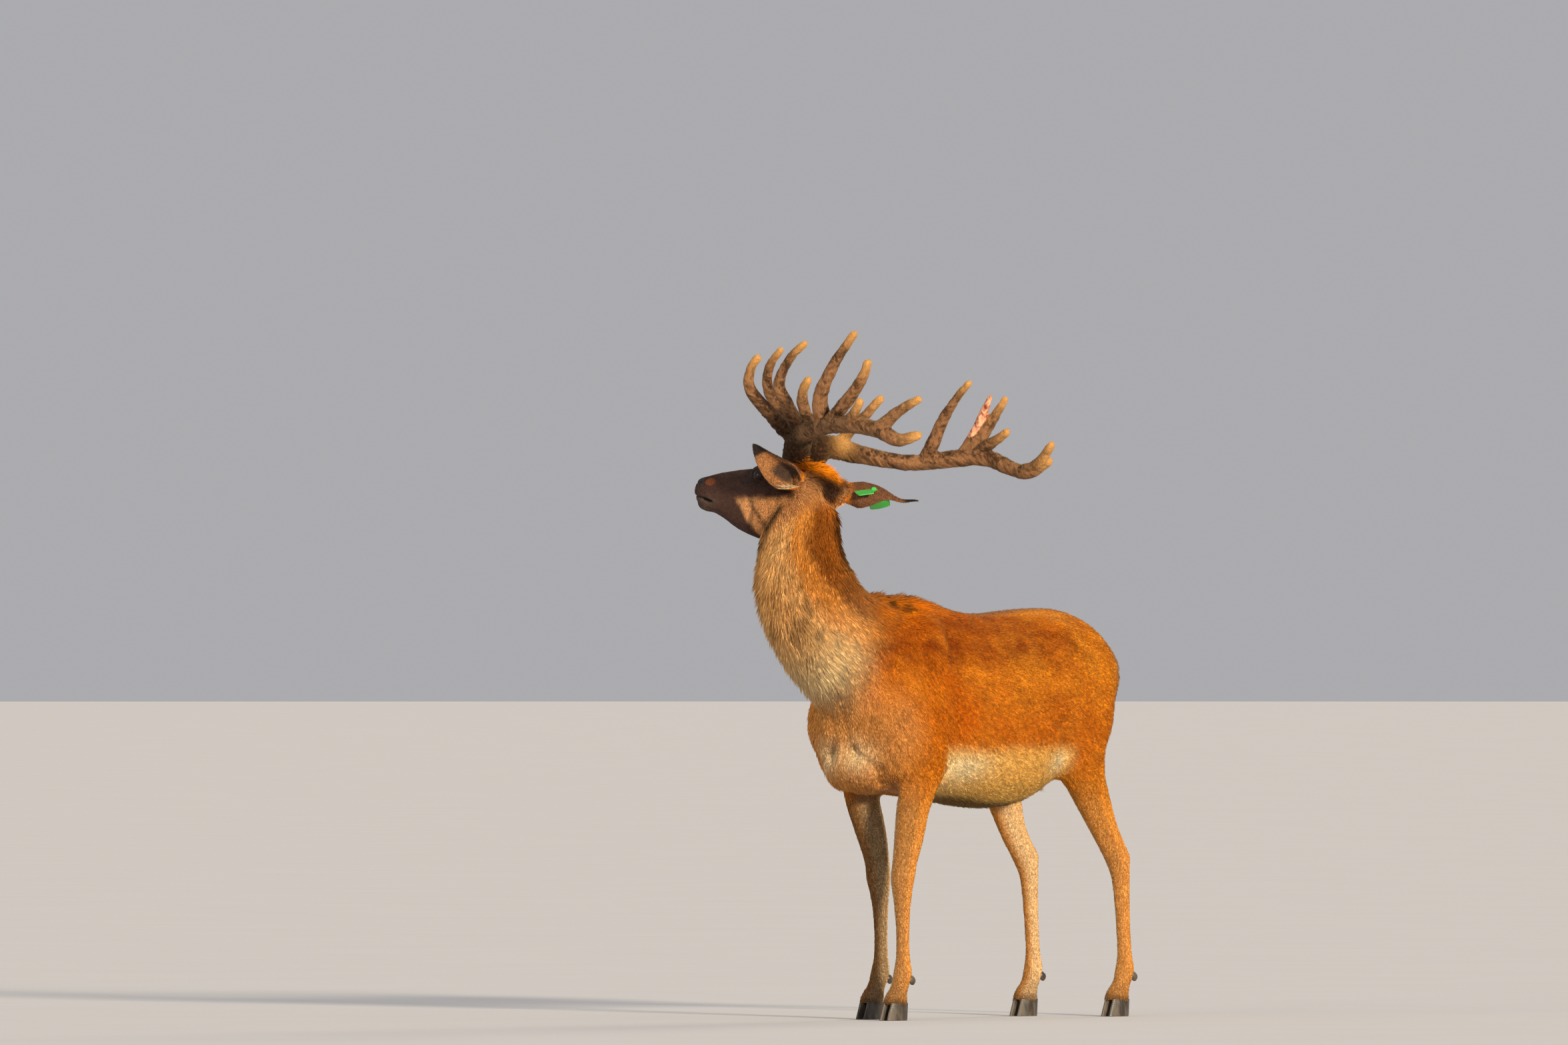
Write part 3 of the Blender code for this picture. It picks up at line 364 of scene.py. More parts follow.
def masses():
    """Muscles and bones that show under the coat, on both sides."""
    made = [
        bulge("withers", (0, 0.050, 1.140), (0.080, 0.160, 0.106)),
        bulge("nape_ridge", (-0.004, -0.062, 1.166), (0.050, 0.120, 0.090)),
        bulge("croup", (0, 0.720, 1.110), (0.110, 0.180, 0.098)),
        bulge("breastbone", (0, -0.105, 0.750), (0.090, 0.148, 0.094)),
        bulge("sheath", (0, 0.670, 0.705), (0.028, 0.080, 0.032), (-30, 0, 0)),
    ]
    for s in (-1, 1):
        made += [
            bulge("shoulder_point", (s * 0.096, -0.132, 0.895), (0.078, 0.094, 0.140), (-15, 0, s * 20)),
            bulge("pectoral", (s * 0.053, -0.155, 0.760), (0.060, 0.082, 0.094)),
            bulge("upper_arm", (s * 0.122, -0.045, 0.805), (0.078, 0.130, 0.120), (25, 0, 0)),
            bulge("shoulder_blade", (s * 0.090, 0.005, 0.990), (0.092, 0.140, 0.205), (-16, 0, 0)),
            bulge("hip_bone", (s * 0.100, 0.640, 1.100), (0.078, 0.120, 0.082)),
            bulge("seat_bone", (s * 0.078, 0.880, 1.005), (0.074, 0.090, 0.110)),
            bulge("flank_fold", (s * 0.138, 0.605, 0.805), (0.060, 0.120, 0.100), (28, 0, 0)),
        ]
    return made


def leg_rows(name):
    """One leg's rows, mirrored and swung to where that foot stands."""
    side, rows, swing, top, low = LEGS[name]
    rows = np.array(rows, float)
    share = np.clip((top - rows[:, 2]) / (top - low), 0, 1)
    rows[:, 1] += swing * share * share * (3 - 2 * share)
    rows[:, 0] *= side
    return rows


def legs():
    made = [swept(name, leg_rows(name), (1, 0, 0), 40) for name in LEGS]
    for name in ("hindleg_left", "hindleg_right"):
        heel = leg_rows(name)[8][:3] + np.array((0, 0.030, 0.020))
        made.append(bulge("point_of_hock", heel, (0.017, 0.020, 0.034), (22, 0, 0)))
    return made


def in_head(obj):
    obj.data.transform(HEAD)
    return obj


def head():
    rings = [
        section((0, y, 0), (1, 0, 0), (0, 0, 1), width, rise, drop, square, pear)
        for y, rise, drop, width, square, pear in spline(SKULL, 40)
    ]
    made = [loft("skull", rings), bulge("crown", (0, -0.018, 0.080), (0.056, 0.066, 0.056))]
    for s in (-1, 1):
        pedicle = [(s * 0.038, -0.078, 0.070, 0.034, 0.036), (s * 0.045, -0.076, 0.150, 0.034, 0.036)]
        made += [
            bulge("brow", (s * 0.056, -0.165, 0.083), (0.030, 0.046, 0.026)),
            bulge("cheek", (s * 0.046, -0.120, -0.035), (0.038, 0.075, 0.072)),
            bulge("lip", (s * 0.021, -0.374, 0.004), (0.025, 0.046, 0.028)),
            bulge("ear_root", (s * 0.066, -0.006 if s > 0 else 0.016, 0.060), (0.040, 0.042, 0.040)),
            swept("pedicle", pedicle, (1, 0, 0), 6),
        ]
    made.append(bulge("chin", (0, -0.368, -0.033), (0.029, 0.044, 0.022)))
    made.append(bulge("nose", (0, -0.391, 0.021), (0.033, 0.034, 0.032)))
    return [in_head(o) for o in made]


def to_head(places):
    """Places in the head's own axes."""
    return places @ HEAD_AXES - np.array(HEAD.to_3x3().transposed() @ HEAD.translation)


def from_head(places):
    return places @ HEAD_AXES.T + np.array(HEAD.translation)


def turned_with_head(way):
    """A way given in the head's own axes."""
    return HEAD.to_3x3() @ Vector(way)


def head_share(places, blend=0.03):
    """1 on the head, 0 behind the line from the nape to the angle of the jaw."""
    ahead = (to_head(places) - (0, 0.06, 0.05)) @ np.array((0, -0.743, 0.669))
    return step(-blend, blend, ahead) * (places[:, 2] > 1.2)


def neck_share(places, blend=0.06):
    """1 on the neck and head, 0 on the trunk."""
    return step(-blend, blend, (places - (0, -0.215, 1.090)) @ np.array((0, -0.889, 0.458)))


def leg_at(name, heights):
    """A leg's middle, in x and y, and its half width at each height."""
    rows = leg_rows(name)[::-1]
    return [np.interp(heights, rows[:, 2], rows[:, k]) for k in (0, 1, 3)]


def leg_share(places):
    """1 on the legs below elbow and stifle, 0 on the trunk, belly and sheath."""
    nearest = np.full(len(places), 9.0)
    for name in LEGS:
        x, y, _ = leg_at(name, places[:, 2])
        nearest = np.minimum(nearest, np.hypot(places[:, 0] - x, places[:, 1] - y))
    return step(0.74, 0.60, places[:, 2]) * step(0.125, 0.085, nearest)


def softness(places):
    """How strongly the joins are softened: much on the trunk and neck, little on the head and lower legs."""
    return 1 - 0.86 * np.maximum(head_share(places), 1 - step(0.60, 0.74, places[:, 2]))


def coat_depth(places):
    """How far the skin lies inside the coat's outline."""
    head_part = head_share(places)
    neck_part = neck_share(places) * (1 - head_part)
    leg_part = leg_share(places)
    crown = np.exp(-((to_head(places) - (0, 0.0, 0.12)) ** 2).sum(1) / 0.055**2)
    body = 0.0060 * (1 - neck_part - head_part) + 0.0110 * neck_part + 0.0022 * head_part
    return body * (1 - leg_part) + 0.0026 * leg_part + 0.006 * crown


flesh = grown_together(joined("flesh", [trunk(), neck(), *masses(), *legs(), *head()]), FLESH_VOXEL)
evened(flesh.data, EVENINGS, softness(places_of(flesh.data)))
places = places_of(flesh.data)
settle(flesh.data, places - normals_of(flesh.data) * coat_depth(places)[:, None])

# ---- face ----------------------------------------------------------------------------------------
# The bare nose pad, nostrils, lips, tear glands and eyelids, and the folds of cheek, chest, armpit and
# flank. They are pressed into the flesh, which is first made finer where they are.

FINE = [  # in the head's axes: centre, reach, how often the flesh is halved there
    ((0, -0.235, 0.000), 0.245, 1),
    ((0, -0.385, -0.005), 0.062, 2),
    *(((sign * (EYE[0] + 0.008), EYE[1] - 0.012, EYE[2] - 0.004), 0.046, 2) for sign in (1, -1)),
]


def halved(obj, chosen):
    """Cuts each face whose centre is chosen into four."""
    shape = opened(obj)
    picked = chosen(np.array([f.calc_center_median() for f in shape.faces]))
    edges = {e for f, take in zip(shape.faces, picked) if take for e in f.edges}
    bmesh.ops.subdivide_edges(shape, edges=list(edges), cuts=1, use_grid_fill=True)
    put_back(shape, obj)


def near_fine(places, level):
    """Whether each place is where the flesh is halved this often."""
    local = to_head(places)
    return np.any([np.linalg.norm(local - c, axis=1) < reach for c, reach, n in FINE if n >= level], axis=0)


halved(flesh, lambda p: (head_share(p) > 0.02) & near_fine(p, 1))
evened(flesh.data, 3, near_fine(places_of(flesh.data), 1) * head_share(places_of(flesh.data)))
halved(flesh, lambda p: near_fine(p, 2))
evened(flesh.data, 3, near_fine(places_of(flesh.data), 2) * head_share(places_of(flesh.data)))


def on_skin(path, places):
    """The path's points, each moved to the nearest place on the skin, with even steps between them."""
    snapped = [places[np.argmin(((places - p) ** 2).sum(1))] for p in np.array(path, float)]
    return spline(snapped, 8 * len(path)) if len(path) > 2 else np.linspace(snapped[0], snapped[-1], 12)


def nearness(places, path, reach):
    """1 on the path, falling to 0 at reach."""
    share = np.zeros(len(places))
    middle = path.mean(axis=0)
    span = np.linalg.norm(path - middle, axis=1).max() + reach
    close = np.flatnonzero(((places - middle) ** 2).sum(1) < span**2)
    gap = np.sqrt(((places[close, None] - path[None]) ** 2).sum(2).min(axis=1))
    share[close] = np.clip(1 - (gap / reach) ** 2, 0, 1) ** 2
    return share


def mirrored(path):
    return [(-x, y, z) for x, y, z in path]


# Folds of the face, in the head's axes on its left side: path, reach, depth (a negative depth stands out)
GLAND_FOLD = ([(0.068, -0.196, 0.060), (0.060, -0.214, 0.052), (0.055, -0.232, 0.046)], 0.0085, 0.0065)
MOUTH = ([(0.000, -0.416, -0.005), (0.016, -0.408, -0.007), (0.029, -0.382, -0.012), (0.035, -0.352, -0.019),
          (0.036, -0.337, -0.023)], 0.0056, 0.0056)
MOUTH_CORNER = ([(0.032, -0.366, -0.019), (0.034, -0.350, -0.023)], 0.0105, 0.0062)
FACE_FOLDS = [
    GLAND_FOLD,
    ([(0.070, -0.192, 0.046), (0.058, -0.226, 0.034)], 0.011, -0.0018),  # edge of the tear gland
    ([(0.078, -0.130, 0.070), (0.080, -0.100, 0.066)], 0.028, 0.0045),  # hollow of the temple
    ([(0.064, -0.196, 0.022), (0.052, -0.270, 0.008), (0.046, -0.326, -0.004)], 0.020, -0.0030),  # cheek
    ([(0.062, -0.186, 0.000), (0.058, -0.182, -0.040), (0.048, -0.176, -0.078)], 0.022, 0.0045),  # jaw
    ([(0.050, -0.236, 0.030), (0.043, -0.300, 0.022)], 0.020, 0.0030),
    MOUTH,
    MOUTH_CORNER,
    ([(0.006, -0.408, -0.018), (0.022, -0.396, -0.022), (0.031, -0.372, -0.031)], 0.010, -0.0020),  # lips
    ([(0.012, -0.412, 0.004), (0.027, -0.390, -0.002), (0.036, -0.352, -0.008)], 0.009, -0.0018),
    ([(0.026, -0.350, -0.056), (0.030, -0.320, -0.056)], 0.016, 0.0030),
]
NOSTRIL = [(0.015, -0.419, 0.023), (0.022, -0.413, 0.031), (0.029, -0.403, 0.034), (0.032, -0.393, 0.030)]
# Folds of the body, in the maker's axes on its left side
ARMPIT = ([(0.040, -0.195, 0.800), (0.085, -0.170, 0.735), (0.100, -0.140, 0.665)], 0.026, 0.016)
BODY_FOLDS = [
    ([(0.020, -0.262, 0.960), (0.024, -0.248, 0.860), (0.036, -0.228, 0.775)], 0.034, 0.009),  # breast
    ARMPIT,
    ([(0.120, -0.175, 1.060), (0.150, -0.165, 0.960), (0.150, -0.150, 0.860)], 0.060, 0.010),  # shoulder
    ([(0.165, 0.130, 1.110), (0.205, 0.115, 0.960), (0.200, 0.075, 0.800)], 0.075, 0.013),  # behind it
    ([(0.185, 0.080, 0.735), (0.160, 0.060, 0.660)], 0.040, 0.012),  # elbow
    ([(0.190, 0.540, 1.110), (0.205, 0.520, 1.020)], 0.085, 0.013),  # hollow of the flank
    ([(0.200, 0.560, 0.860), (0.180, 0.600, 0.760), (0.150, 0.640, 0.700)], 0.050, 0.010),  # flank fold
    ([(0.075, 0.955, 1.000), (0.105, 0.930, 0.880), (0.125, 0.880, 0.740)], 0.050, 0.011),  # hamstring
    ([(0.165, 0.760, 1.090), (0.190, 0.760, 0.960), (0.180, 0.700, 0.840)], 0.070, 0.007),
]

places = places_of(flesh.data)
normals = normals_of(flesh.data)
crease, mouth, nostril, gland = np.zeros((4, len(places)))
for folds, to_maker in ((BODY_FOLDS, np.array), (FACE_FOLDS, lambda path: from_head(np.array(path)))):
    for fold in folds:
        path, reach, depth = fold
        for way in (path, mirrored(path)):
            share = nearness(places, on_skin(to_maker(way), places), reach)
            places -= normals * (depth * share)[:, None]
            for marked, of_it in ((crease, [ARMPIT]), (mouth, [MOUTH, MOUTH_CORNER]), (gland, [GLAND_FOLD])):
                if fold in of_it:
                    np.maximum(marked, share, out=marked)
for way in (NOSTRIL, mirrored(NOSTRIL)):
    line = on_skin(from_head(np.array(way)), places)
    inward = unit(turned_with_head((-0.35 * np.sign(way[0][0]), 0.90, -0.25)))
    rim, hole = nearness(places, line, 0.0125), nearness(places, line, 0.0078)
    places += normals * (0.0007 * rim)[:, None] + inward * (0.0120 * hole)[:, None]
    nostril = np.maximum(nostril, hole)
settle(flesh.data, places)

LID_WIDE, LID_UPPER, LID_LOWER = 0.0168, 0.0098, 0.0072  # half width and heights of the opening
LID_THICK = 0.0020


def eye_axes(sign):
    """Centre of an eye, its gaze, the way to its tear corner and its up, all in the head's axes."""
    gaze = unit((sign * 0.93, -0.34, 0.10))
    corner = np.array((0, -0.95, -0.32))
    corner = unit(corner - gaze * (corner @ gaze))
    up = np.cross(gaze, corner) * sign
    return np.array((sign * EYE[0], EYE[1], EYE[2])), gaze, corner, up * np.sign(up[2])


def lidded(places, sign):
    """Draws the skin over the eyeball as lids, with an almond opening between them."""
    centre, gaze, corner, up = eye_axes(sign)
    local = to_head(places) - centre
    u, v, w = local @ corner, local @ up, local @ gaze
    out = np.hypot(u, v)
    close = (np.linalg.norm(local, axis=1) < 0.045) & (w > 0)
    height = np.where(v > 0, LID_UPPER, LID_LOWER)
    opening = (u / LID_WIDE) ** 2 + (v / height) ** 2
    shell = np.sqrt(np.maximum((EYE_RADIUS + LID_THICK) ** 2 - out**2, 1e-6))
    sunk = np.sqrt(np.maximum((EYE_RADIUS - 0.005) ** 2 - out**2, 1e-6))
    fade = step(0.0135, 0.0270, out)
    crease = 0.0022 * np.exp(-((out - 0.0215) / 0.0035) ** 2) * step(-0.004, 0.004, v)
    lid = shell * (1 - fade) + (w - crease) * fade
    target = np.where(opening < 1, sunk, lid)
    moved = np.where(close, target - w, 0)
    rim = np.where(close, step(1.55, 1.12, np.sqrt(opening)), 0)
    return from_head(to_head(places) + moved[:, None] * gaze), rim


places = places_of(flesh.data)
lids = np.zeros(len(places))
for sign in (1, -1):
    places, share = lidded(places, sign)
    lids = np.maximum(lids, share)
settle(flesh.data, places)


NOTE_KINDS = {1: ("FLOAT", "value"), 3: ("FLOAT_VECTOR", "vector"), 4: ("FLOAT_COLOR", "color")}


def noted(mesh, **notes):
    """Keeps a number, way or colour for each point under a name, or a whole number for each face."""
    for name, values in notes.items():
        values = np.asarray(values)
        kind, field = NOTE_KINDS[values.shape[1] if values.ndim == 2 else 1]
        whole = values.dtype.kind == "i"
        layer = mesh.attributes.new(name, "INT" if whole else kind, "FACE" if whole else "POINT")
        layer.data.foreach_set(field, values.astype(np.int32 if whole else np.float32).ravel())


# hole: the nostrils and the line of the mouth, which the face darkens as painted shade in these hollows
noted(flesh.data, hole=np.maximum(nostril, 0.9 * mouth), gland=gland, lids=lids, crease=crease)

LID_EDGE = 0.0014


def lid_edge(sign):
    """The moist dark rim round an eye's opening."""
    centre, gaze, corner, up = eye_axes(sign)
    turn = np.linspace(0, 2 * math.pi, 48, endpoint=False)
    high = np.where(np.sin(turn) > 0, LID_UPPER, LID_LOWER)
    u, v = LID_WIDE * np.cos(turn), high * np.sin(turn)
    w = np.sqrt((EYE_RADIUS + 0.4 * LID_EDGE) ** 2 - u**2 - v**2)
    line = centre + u[:, None] * corner + v[:, None] * up + w[:, None] * gaze
    heading = unit(np.roll(line, -1, 0) - np.roll(line, 1, 0))
    outward = unit(line - centre)
    across = np.cross(heading, outward)
    round_about = np.linspace(0, 2 * math.pi, 8, endpoint=False)
    return in_head(loft("lid_edge", [
        [p + LID_EDGE * (math.cos(a) * o + math.sin(a) * c) for a in round_about]
        for p, o, c in zip(line, outward, across)
    ], endless=True))


# ---- ears and tail -------------------------------------------------------------------------------
# Each ear is a leaf of gristle and skin rolled into a tube at its root, opening to a cup and drawn to a
# point. The tail is short and flat, and hangs close to the rump. All three are joined to the skin.

EAR_WALL = 0.0050  # thickness at the root
# name: root in the head's axes, the way the ear points, the way its opening faces, and then length, width,
# how far its line bows forwards, how far its tip curls towards the opening, degrees that it twists towards
# the tip, and whether it is drawn out to a thin drooping tip
EARS = {
    "ear_left": ((0.064, -0.014, 0.072), (0.775, -0.482, 0.410), (0.80, 0.50, -0.15),
                 0.208, 1.00, 0.020, 0.012, 0, 0),
    "ear_right": ((-0.066, 0.010, 0.073), (-0.52, 0.85, 0.08), (-0.60, -0.35, -0.70),
                  0.244, 1.03, 0.0, 0.012, -45, 1),
}
# share of the ear's length: radius of its wall there, and how many degrees of a tube it makes
EAR_LEAF = np.array([
    (0.00, 0.021, 350), (0.10, 0.027, 325), (0.20, 0.034, 250), (0.32, 0.0430, 208), (0.45, 0.0405, 182),
    (0.60, 0.0345, 165), (0.78, 0.0235, 150), (0.90, 0.0145, 135), (0.96, 0.0080, 125), (1.00, 0.0012, 120),
])
TAIL = [
    (0, 0.860, 1.120, 0.030, 0.030),
    (0, 0.945, 1.075, 0.034, 0.026),
    (0, 0.984, 0.995, 0.033, 0.019),
    (0, 0.990, 0.915, 0.024, 0.014),
    (0, 0.990, 0.868, 0.010, 0.008),
]


def ear_frame(name):
    """The ear's root, its own line, the way it opens, and the way across it."""
    root, way, facing = EARS[name][:3]
    way = unit(way)
    facing = unit(np.array(facing) - way * (way @ np.array(facing)))
    return np.array(root), way, facing, np.cross(way, facing)


def ear_wall(name, share, turn):
    """A point in the middle of the ear's wall and its outward direction there: share of the length, and the
    turn from the middle of its back."""
    root, way, facing, across = ear_frame(name)
    length, width, bow, curl, twist, drawn = EARS[name][3:]
    spin = math.radians(twist) * float(step(0.25, 0.85, share))
    opening = facing * math.cos(spin) + across * math.sin(spin)
    across = across * math.cos(spin) - facing * math.sin(spin)
    thinned = 1 - 0.42 * drawn * float(step(0.45, 0.75, share))
    radius = width * np.interp(share, EAR_LEAF[:, 0], EAR_LEAF[:, 1]) * thinned
    outward = -opening * math.cos(turn) + across * math.sin(turn)
    centre = root + way * (length * share) + facing * (0.35 * radius + curl * share * share)
    centre = centre + facing * (0.018 * drawn * math.exp(-(((share - 0.80) / 0.15) ** 2)))
    centre = centre - across * (bow * 4 * share * (1 - share))
    return centre + (across * math.sin(turn) - opening * (0.78 * math.cos(turn))) * radius, outward


def ear(name, rows=46, columns=29, rim=5):
    """The ear as one closed shell with a rounded rim. Its points know their share of the length, their turn,
    and whether they are on the inside."""
    rings, notes = [], []
    for share in np.linspace(0, 1, rows):
        spread = math.radians(np.interp(share, EAR_LEAF[:, 0], EAR_LEAF[:, 2]))
        turns = np.linspace(-spread / 2, spread / 2, columns)
        walls = [ear_wall(name, share, turn) for turn in turns]
        middle = np.array([w[0] for w in walls])
        outward = np.array([w[1] for w in walls])
        radius = np.linalg.norm(middle[0] - middle[-1]) / 2 + 0.0008
        thin = min(EAR_WALL / 2 * (1 - 0.45 * share), radius * 0.8)
        bend = np.linspace(0, math.pi, rim + 2)[1:-1]
        ends = [unit(middle[-1] - middle[-2]), unit(middle[0] - middle[1])]
        far = [middle[-1] + thin * (math.cos(a) * outward[-1] + math.sin(a) * ends[0]) for a in bend]
        near = [middle[0] + thin * (-math.cos(a) * outward[0] + math.sin(a) * ends[1]) for a in bend]
        ridges = 0.0007 * np.cos(turns * 9) * (1 - share)
        inner = middle - outward * (thin + ridges)[:, None]
        rings.append([*(middle + outward * thin), *far, *inner[::-1], *near])
        edge = turns / (spread / 2)
        inside = [*(0 * turns), *([0.5] * rim), *(0 * turns + 1), *([0.5] * rim)]
        notes += zip([share] * len(inside), [*edge, *([1] * rim), *edge[::-1], *([-1] * rim)], inside)
    obj = in_head(loft(name, rings))
    noted(obj.data, **dict(zip(("ear_share", "ear_edge", "ear_inside"), np.array(notes, float).T)))
    return obj


def cut_level(obj, level):
    """Cuts the legs off level at this height and closes them."""
    shape = opened(obj)
    geometry = [*shape.verts, *shape.edges, *shape.faces]
    bmesh.ops.bisect_plane(
        shape, geom=geometry, plane_co=(0, 0, level), plane_no=(0, 0, 1), clear_inner=True,
    )
    bmesh.ops.holes_fill(shape, edges=[e for e in shape.edges if e.is_boundary], sides=0)
    put_back(shape, obj)


cut_level(flesh, SOLES)
EAR_PARTS = {"ear_left": 1, "ear_right": 2}  # what each point of the skin knows itself to be part of
TAIL_PART, LID_PART = 3, 4
SKIN_NOTES = ["hole", "gland", "lids", "crease", "ear_share", "ear_edge", "ear_inside"]
members = [
    (flesh, 0), *((ear(name), code) for name, code in EAR_PARTS.items()),
    (swept("tail", TAIL, (1, 0, 0), 36, 30), TAIL_PART), (lid_edge(1), LID_PART), (lid_edge(-1), LID_PART),
]
for member, code in members:
    nothing = np.zeros(len(member.data.vertices))
    noted(member.data, part=nothing + code)
    noted(member.data, **{note: nothing for note in SKIN_NOTES if note not in member.data.attributes})
skin = joined("skin", [member for member, _ in members])


def read(mesh, name, width=1):
    """What a mesh knows at each point under a name."""
    return taken(mesh.attributes[name].data, NOTE_KINDS[width][1], width).astype(float)


# ---- markings ------------------------------------------------------------------------------------
# The summer coat: rufous trunk, paler speckled neck, dark face, pale belly and inner legs, dark stripe down
# the nape, with painted light and shade in places: painted shadow of the ear over the face, in the near
# ear's hollow and in the groove behind the jaw, painted shade on the right foreleg, under the belly and on
# the upper flank, and painted light on the throat, belly and muzzle. The same colours are kept on the skin
# and on every tuft that grows from it.


def paint(red, green, blue):
    """A colour given as 0 to 255, as on a painter's chart, in linear light."""
    value = np.array((red, green, blue)) / 255
    return np.where(value > 0.04045, ((value + 0.055) / 1.055) ** 2.4, value / 12.92)


RUFOUS = paint(212, 112, 10)
RUFOUS_DEEP = paint(156, 70, 6)
RUFOUS_GOLD = paint(238, 156, 40)
BACK_BROWN = paint(118, 60, 12)
NAPE_DARK = paint(58, 33, 18)
NECK_BEIGE = paint(252, 204, 138)
NECK_GREY = paint(150, 98, 50)
NECK_STRIPE = paint(144, 72, 11)
CREAM = paint(255, 238, 196)
BELLY_GOLD = paint(255, 208, 116)
CHEST = paint(222, 160, 90)
LEG_FAWN = paint(238, 168, 86)
LEG_GREY = paint(122, 90, 62)
# The face's dark grey-brown is partly painted shadow of the ear and antlers; the pale cheek lies below it.
FACE = paint(74, 48, 41)
FACE_DARK = paint(46, 30, 27)
CHEEK = paint(220, 160, 104)
CHIN = paint(88, 69, 60)
NOSE = paint(24, 19, 18)
# painted pool of light on the muzzle
MUZZLE_LIT_SPOT = paint(140, 76, 40)
CROWN_ORANGE = paint(234, 138, 22)
EAR_BACK = paint(114, 74, 49)
EAR_INSIDE = paint(166, 114, 70)
EAR_HOLLOW_SHADOW = paint(74, 55, 44)
EAR_DARK = paint(44, 31, 27)


def blended(a, b, share):
    return a * (1 - share) + b * share


def painted(base, *layers):
    """One colour for every place, and over it layers of a colour and how much of it each place takes."""
    colour = np.tile(base, (len(layers[0][1]), 1))
    for tint, share in layers:
        colour = blended(colour, tint, np.clip(share, 0, 1)[:, None])
    return colour


def drift(places, size, seed=0.0, octaves=2):
    """Slow random change from place to place, from -1 to 1."""
    start = Vector((seed, 0, 0))
    return np.array([noise.fractal(Vector(p) / size + start, 1.0, 2.0, octaves) for p in places])


def glow(places, centre, radii):
    """1 at the centre, fading to a third at the radii."""
    return np.exp(-(((places - centre) / radii) ** 2).sum(-1))


def nearest_on(line, places, at_once=8000):
    """Which of the line's points is nearest to each place."""
    nearest = np.empty(len(places), int)
    for first in range(0, len(places), at_once):
        group = slice(first, first + at_once)
        nearest[group] = ((places[group, None] - line[None]) ** 2).sum(2).argmin(1)
    return nearest


NECK_STEPS = 48


def round_neck(places):
    """How far up the neck each place is, as one of its steps, and its turn from the nape in degrees."""
    rows, _, left, back = neck_line(NECK_STEPS)
    nearest = nearest_on(rows[:, :3], places)
    away = places - rows[nearest, :3]
    turn = np.degrees(np.arctan2((away * left[nearest]).sum(1), (away * back[nearest]).sum(1)))
    return nearest, turn


WITHERS_MARKS = [(0.030, -0.060, 1.210), (0.048, -0.020, 1.200), (0.052, 0.015, 1.192)]  # dark tufts
# the throat's pale patch carries painted light as well as pale hair
THROAT_LIT_PATCH = (0.012, -0.320, 1.035)  # middle of the pale patch at the foot of the neck


def body_colour(places):
    half = np.c_[np.abs(places[:, 0]), places[:, 1:]]
    x, y, z = half.T
    slow = drift(places, 0.16)
    blotch = drift(places * (1, 0.55, 1), 0.040, 7.0)
    # darker upper flank: deeper rufous hair, partly painted shade where the flank turns upwards
    upper = step(0.98, 1.10, z) * step(1.205, 1.165, z)
    spots = step(0.10, 0.50, drift(places, 0.035, 3.0)) * step(0.11, 0.03, x) * step(0.26, 0.06, y)
    tufts = [((half - mark) ** 2).sum(1) ** 0.5 + 0.020 * blotch for mark in WITHERS_MARKS]
    belly = step(0.820, 0.765, z + 0.012 * slow) * step(0.010, 0.055, y) * step(0.665, 0.600, y)
    # the palest belly behind the elbow and on the flank fold: pale hair with painted highlights
    bright = glow(half[:, 1:], (0.125, 0.740), (0.105, 0.050))
    bright = np.maximum(bright, glow(half[:, 1:], (0.565, 0.755), (0.060, 0.035)))
    rump = glow(half[:, ::2], (0, 1.02), (0.105, 0.150)) * step(0.86, 0.93, y)
    edge = glow(half[:, :1], 0.120, 0.028) * step(0.88, 0.93, y) * step(0.86, 0.95, z)
    return painted(
        RUFOUS,
        (RUFOUS_GOLD, 0.40 + 0.6 * slow + 0.25 * step(0.0, 0.6, y)),
        (RUFOUS_DEEP, 0.45 * upper * step(0.75, 0.45, y) + 0.30 * upper + 0.45 * blotch),
        (BACK_BROWN, 0.75 * step(0.060, 0.010, x) * step(1.08, 1.16, z)),
        (NAPE_DARK, 0.80 * spots * step(1.12, 1.18, z)),
        *((NAPE_DARK, 0.75 * step(0.026, 0.012, gap)) for gap in tufts),
        (BELLY_GOLD, 0.98 * belly),
        (CREAM, bright * belly),
        # dark along the underside of the belly: dark hair, deepened by painted shade under it
        (NAPE_DARK, 0.85 * (step(0.125, 0.055, x) * step(0.680, 0.645, z) * step(0.62, 0.50, y))),
        (CHEST, 0.85 * (step(-0.02, -0.16, y + 0.03 * slow) * step(1.04, 0.86, z))),
        (CREAM, 0.70 * glow(half, (0.050, -0.225, 0.775), (0.060, 0.060, 0.050))),
        (CREAM, 0.75 * glow(places, THROAT_LIT_PATCH, (0.100, 0.090, 0.110))),
        (CREAM, 0.85 * step(0.66, 0.72, y) * step(0.110, 0.060, x) * step(0.90, 0.80, z)),
        (CREAM, 0.88 * rump),
        (BACK_BROWN, 0.45 * (edge * step(1.16, 1.08, z))),
    )


def leg_colour(places):
    x, y, z = places.T
    front, inner, rear = np.zeros((3, len(places)))
    for name in LEGS:
        cx, cy, reach = leg_at(name, z)
        here = step(0.16, 0.11, np.hypot(x - cx, y - cy))
        front = np.maximum(front, here * step(0.1, -0.9, (y - cy) / reach))
        inner = np.maximum(inner, here * step(0.0, -0.9, (x - cx) * LEGS[name][0] / reach))
        rear = np.maximum(rear, here * (y - cy) / reach)
    hind = step(0.4, 0.5, y)
    # painted shadow over the right foreleg, all but its rear edge, as if cast by the left leg
    far_foreleg_shade = step(-0.02, -0.06, x) * (1 - hind) * step(0.60, 0.25, rear)
    return painted(
        LEG_FAWN,
        (RUFOUS_GOLD, 0.55 * step(0.42, 0.66, z)),
        (LEG_GREY, (0.55 - 0.20 * hind) * front),
        (CREAM, 0.55 * inner),
        (LEG_GREY * 0.5, 0.62 * far_foreleg_shade),
        (LEG_GREY, 0.45 * step(0.15, 0.07, z) + 0.10 * drift(places, 0.05, 11.0)),
        (EAR_DARK, 0.5 * step(0.075, 0.052, z)),
    )


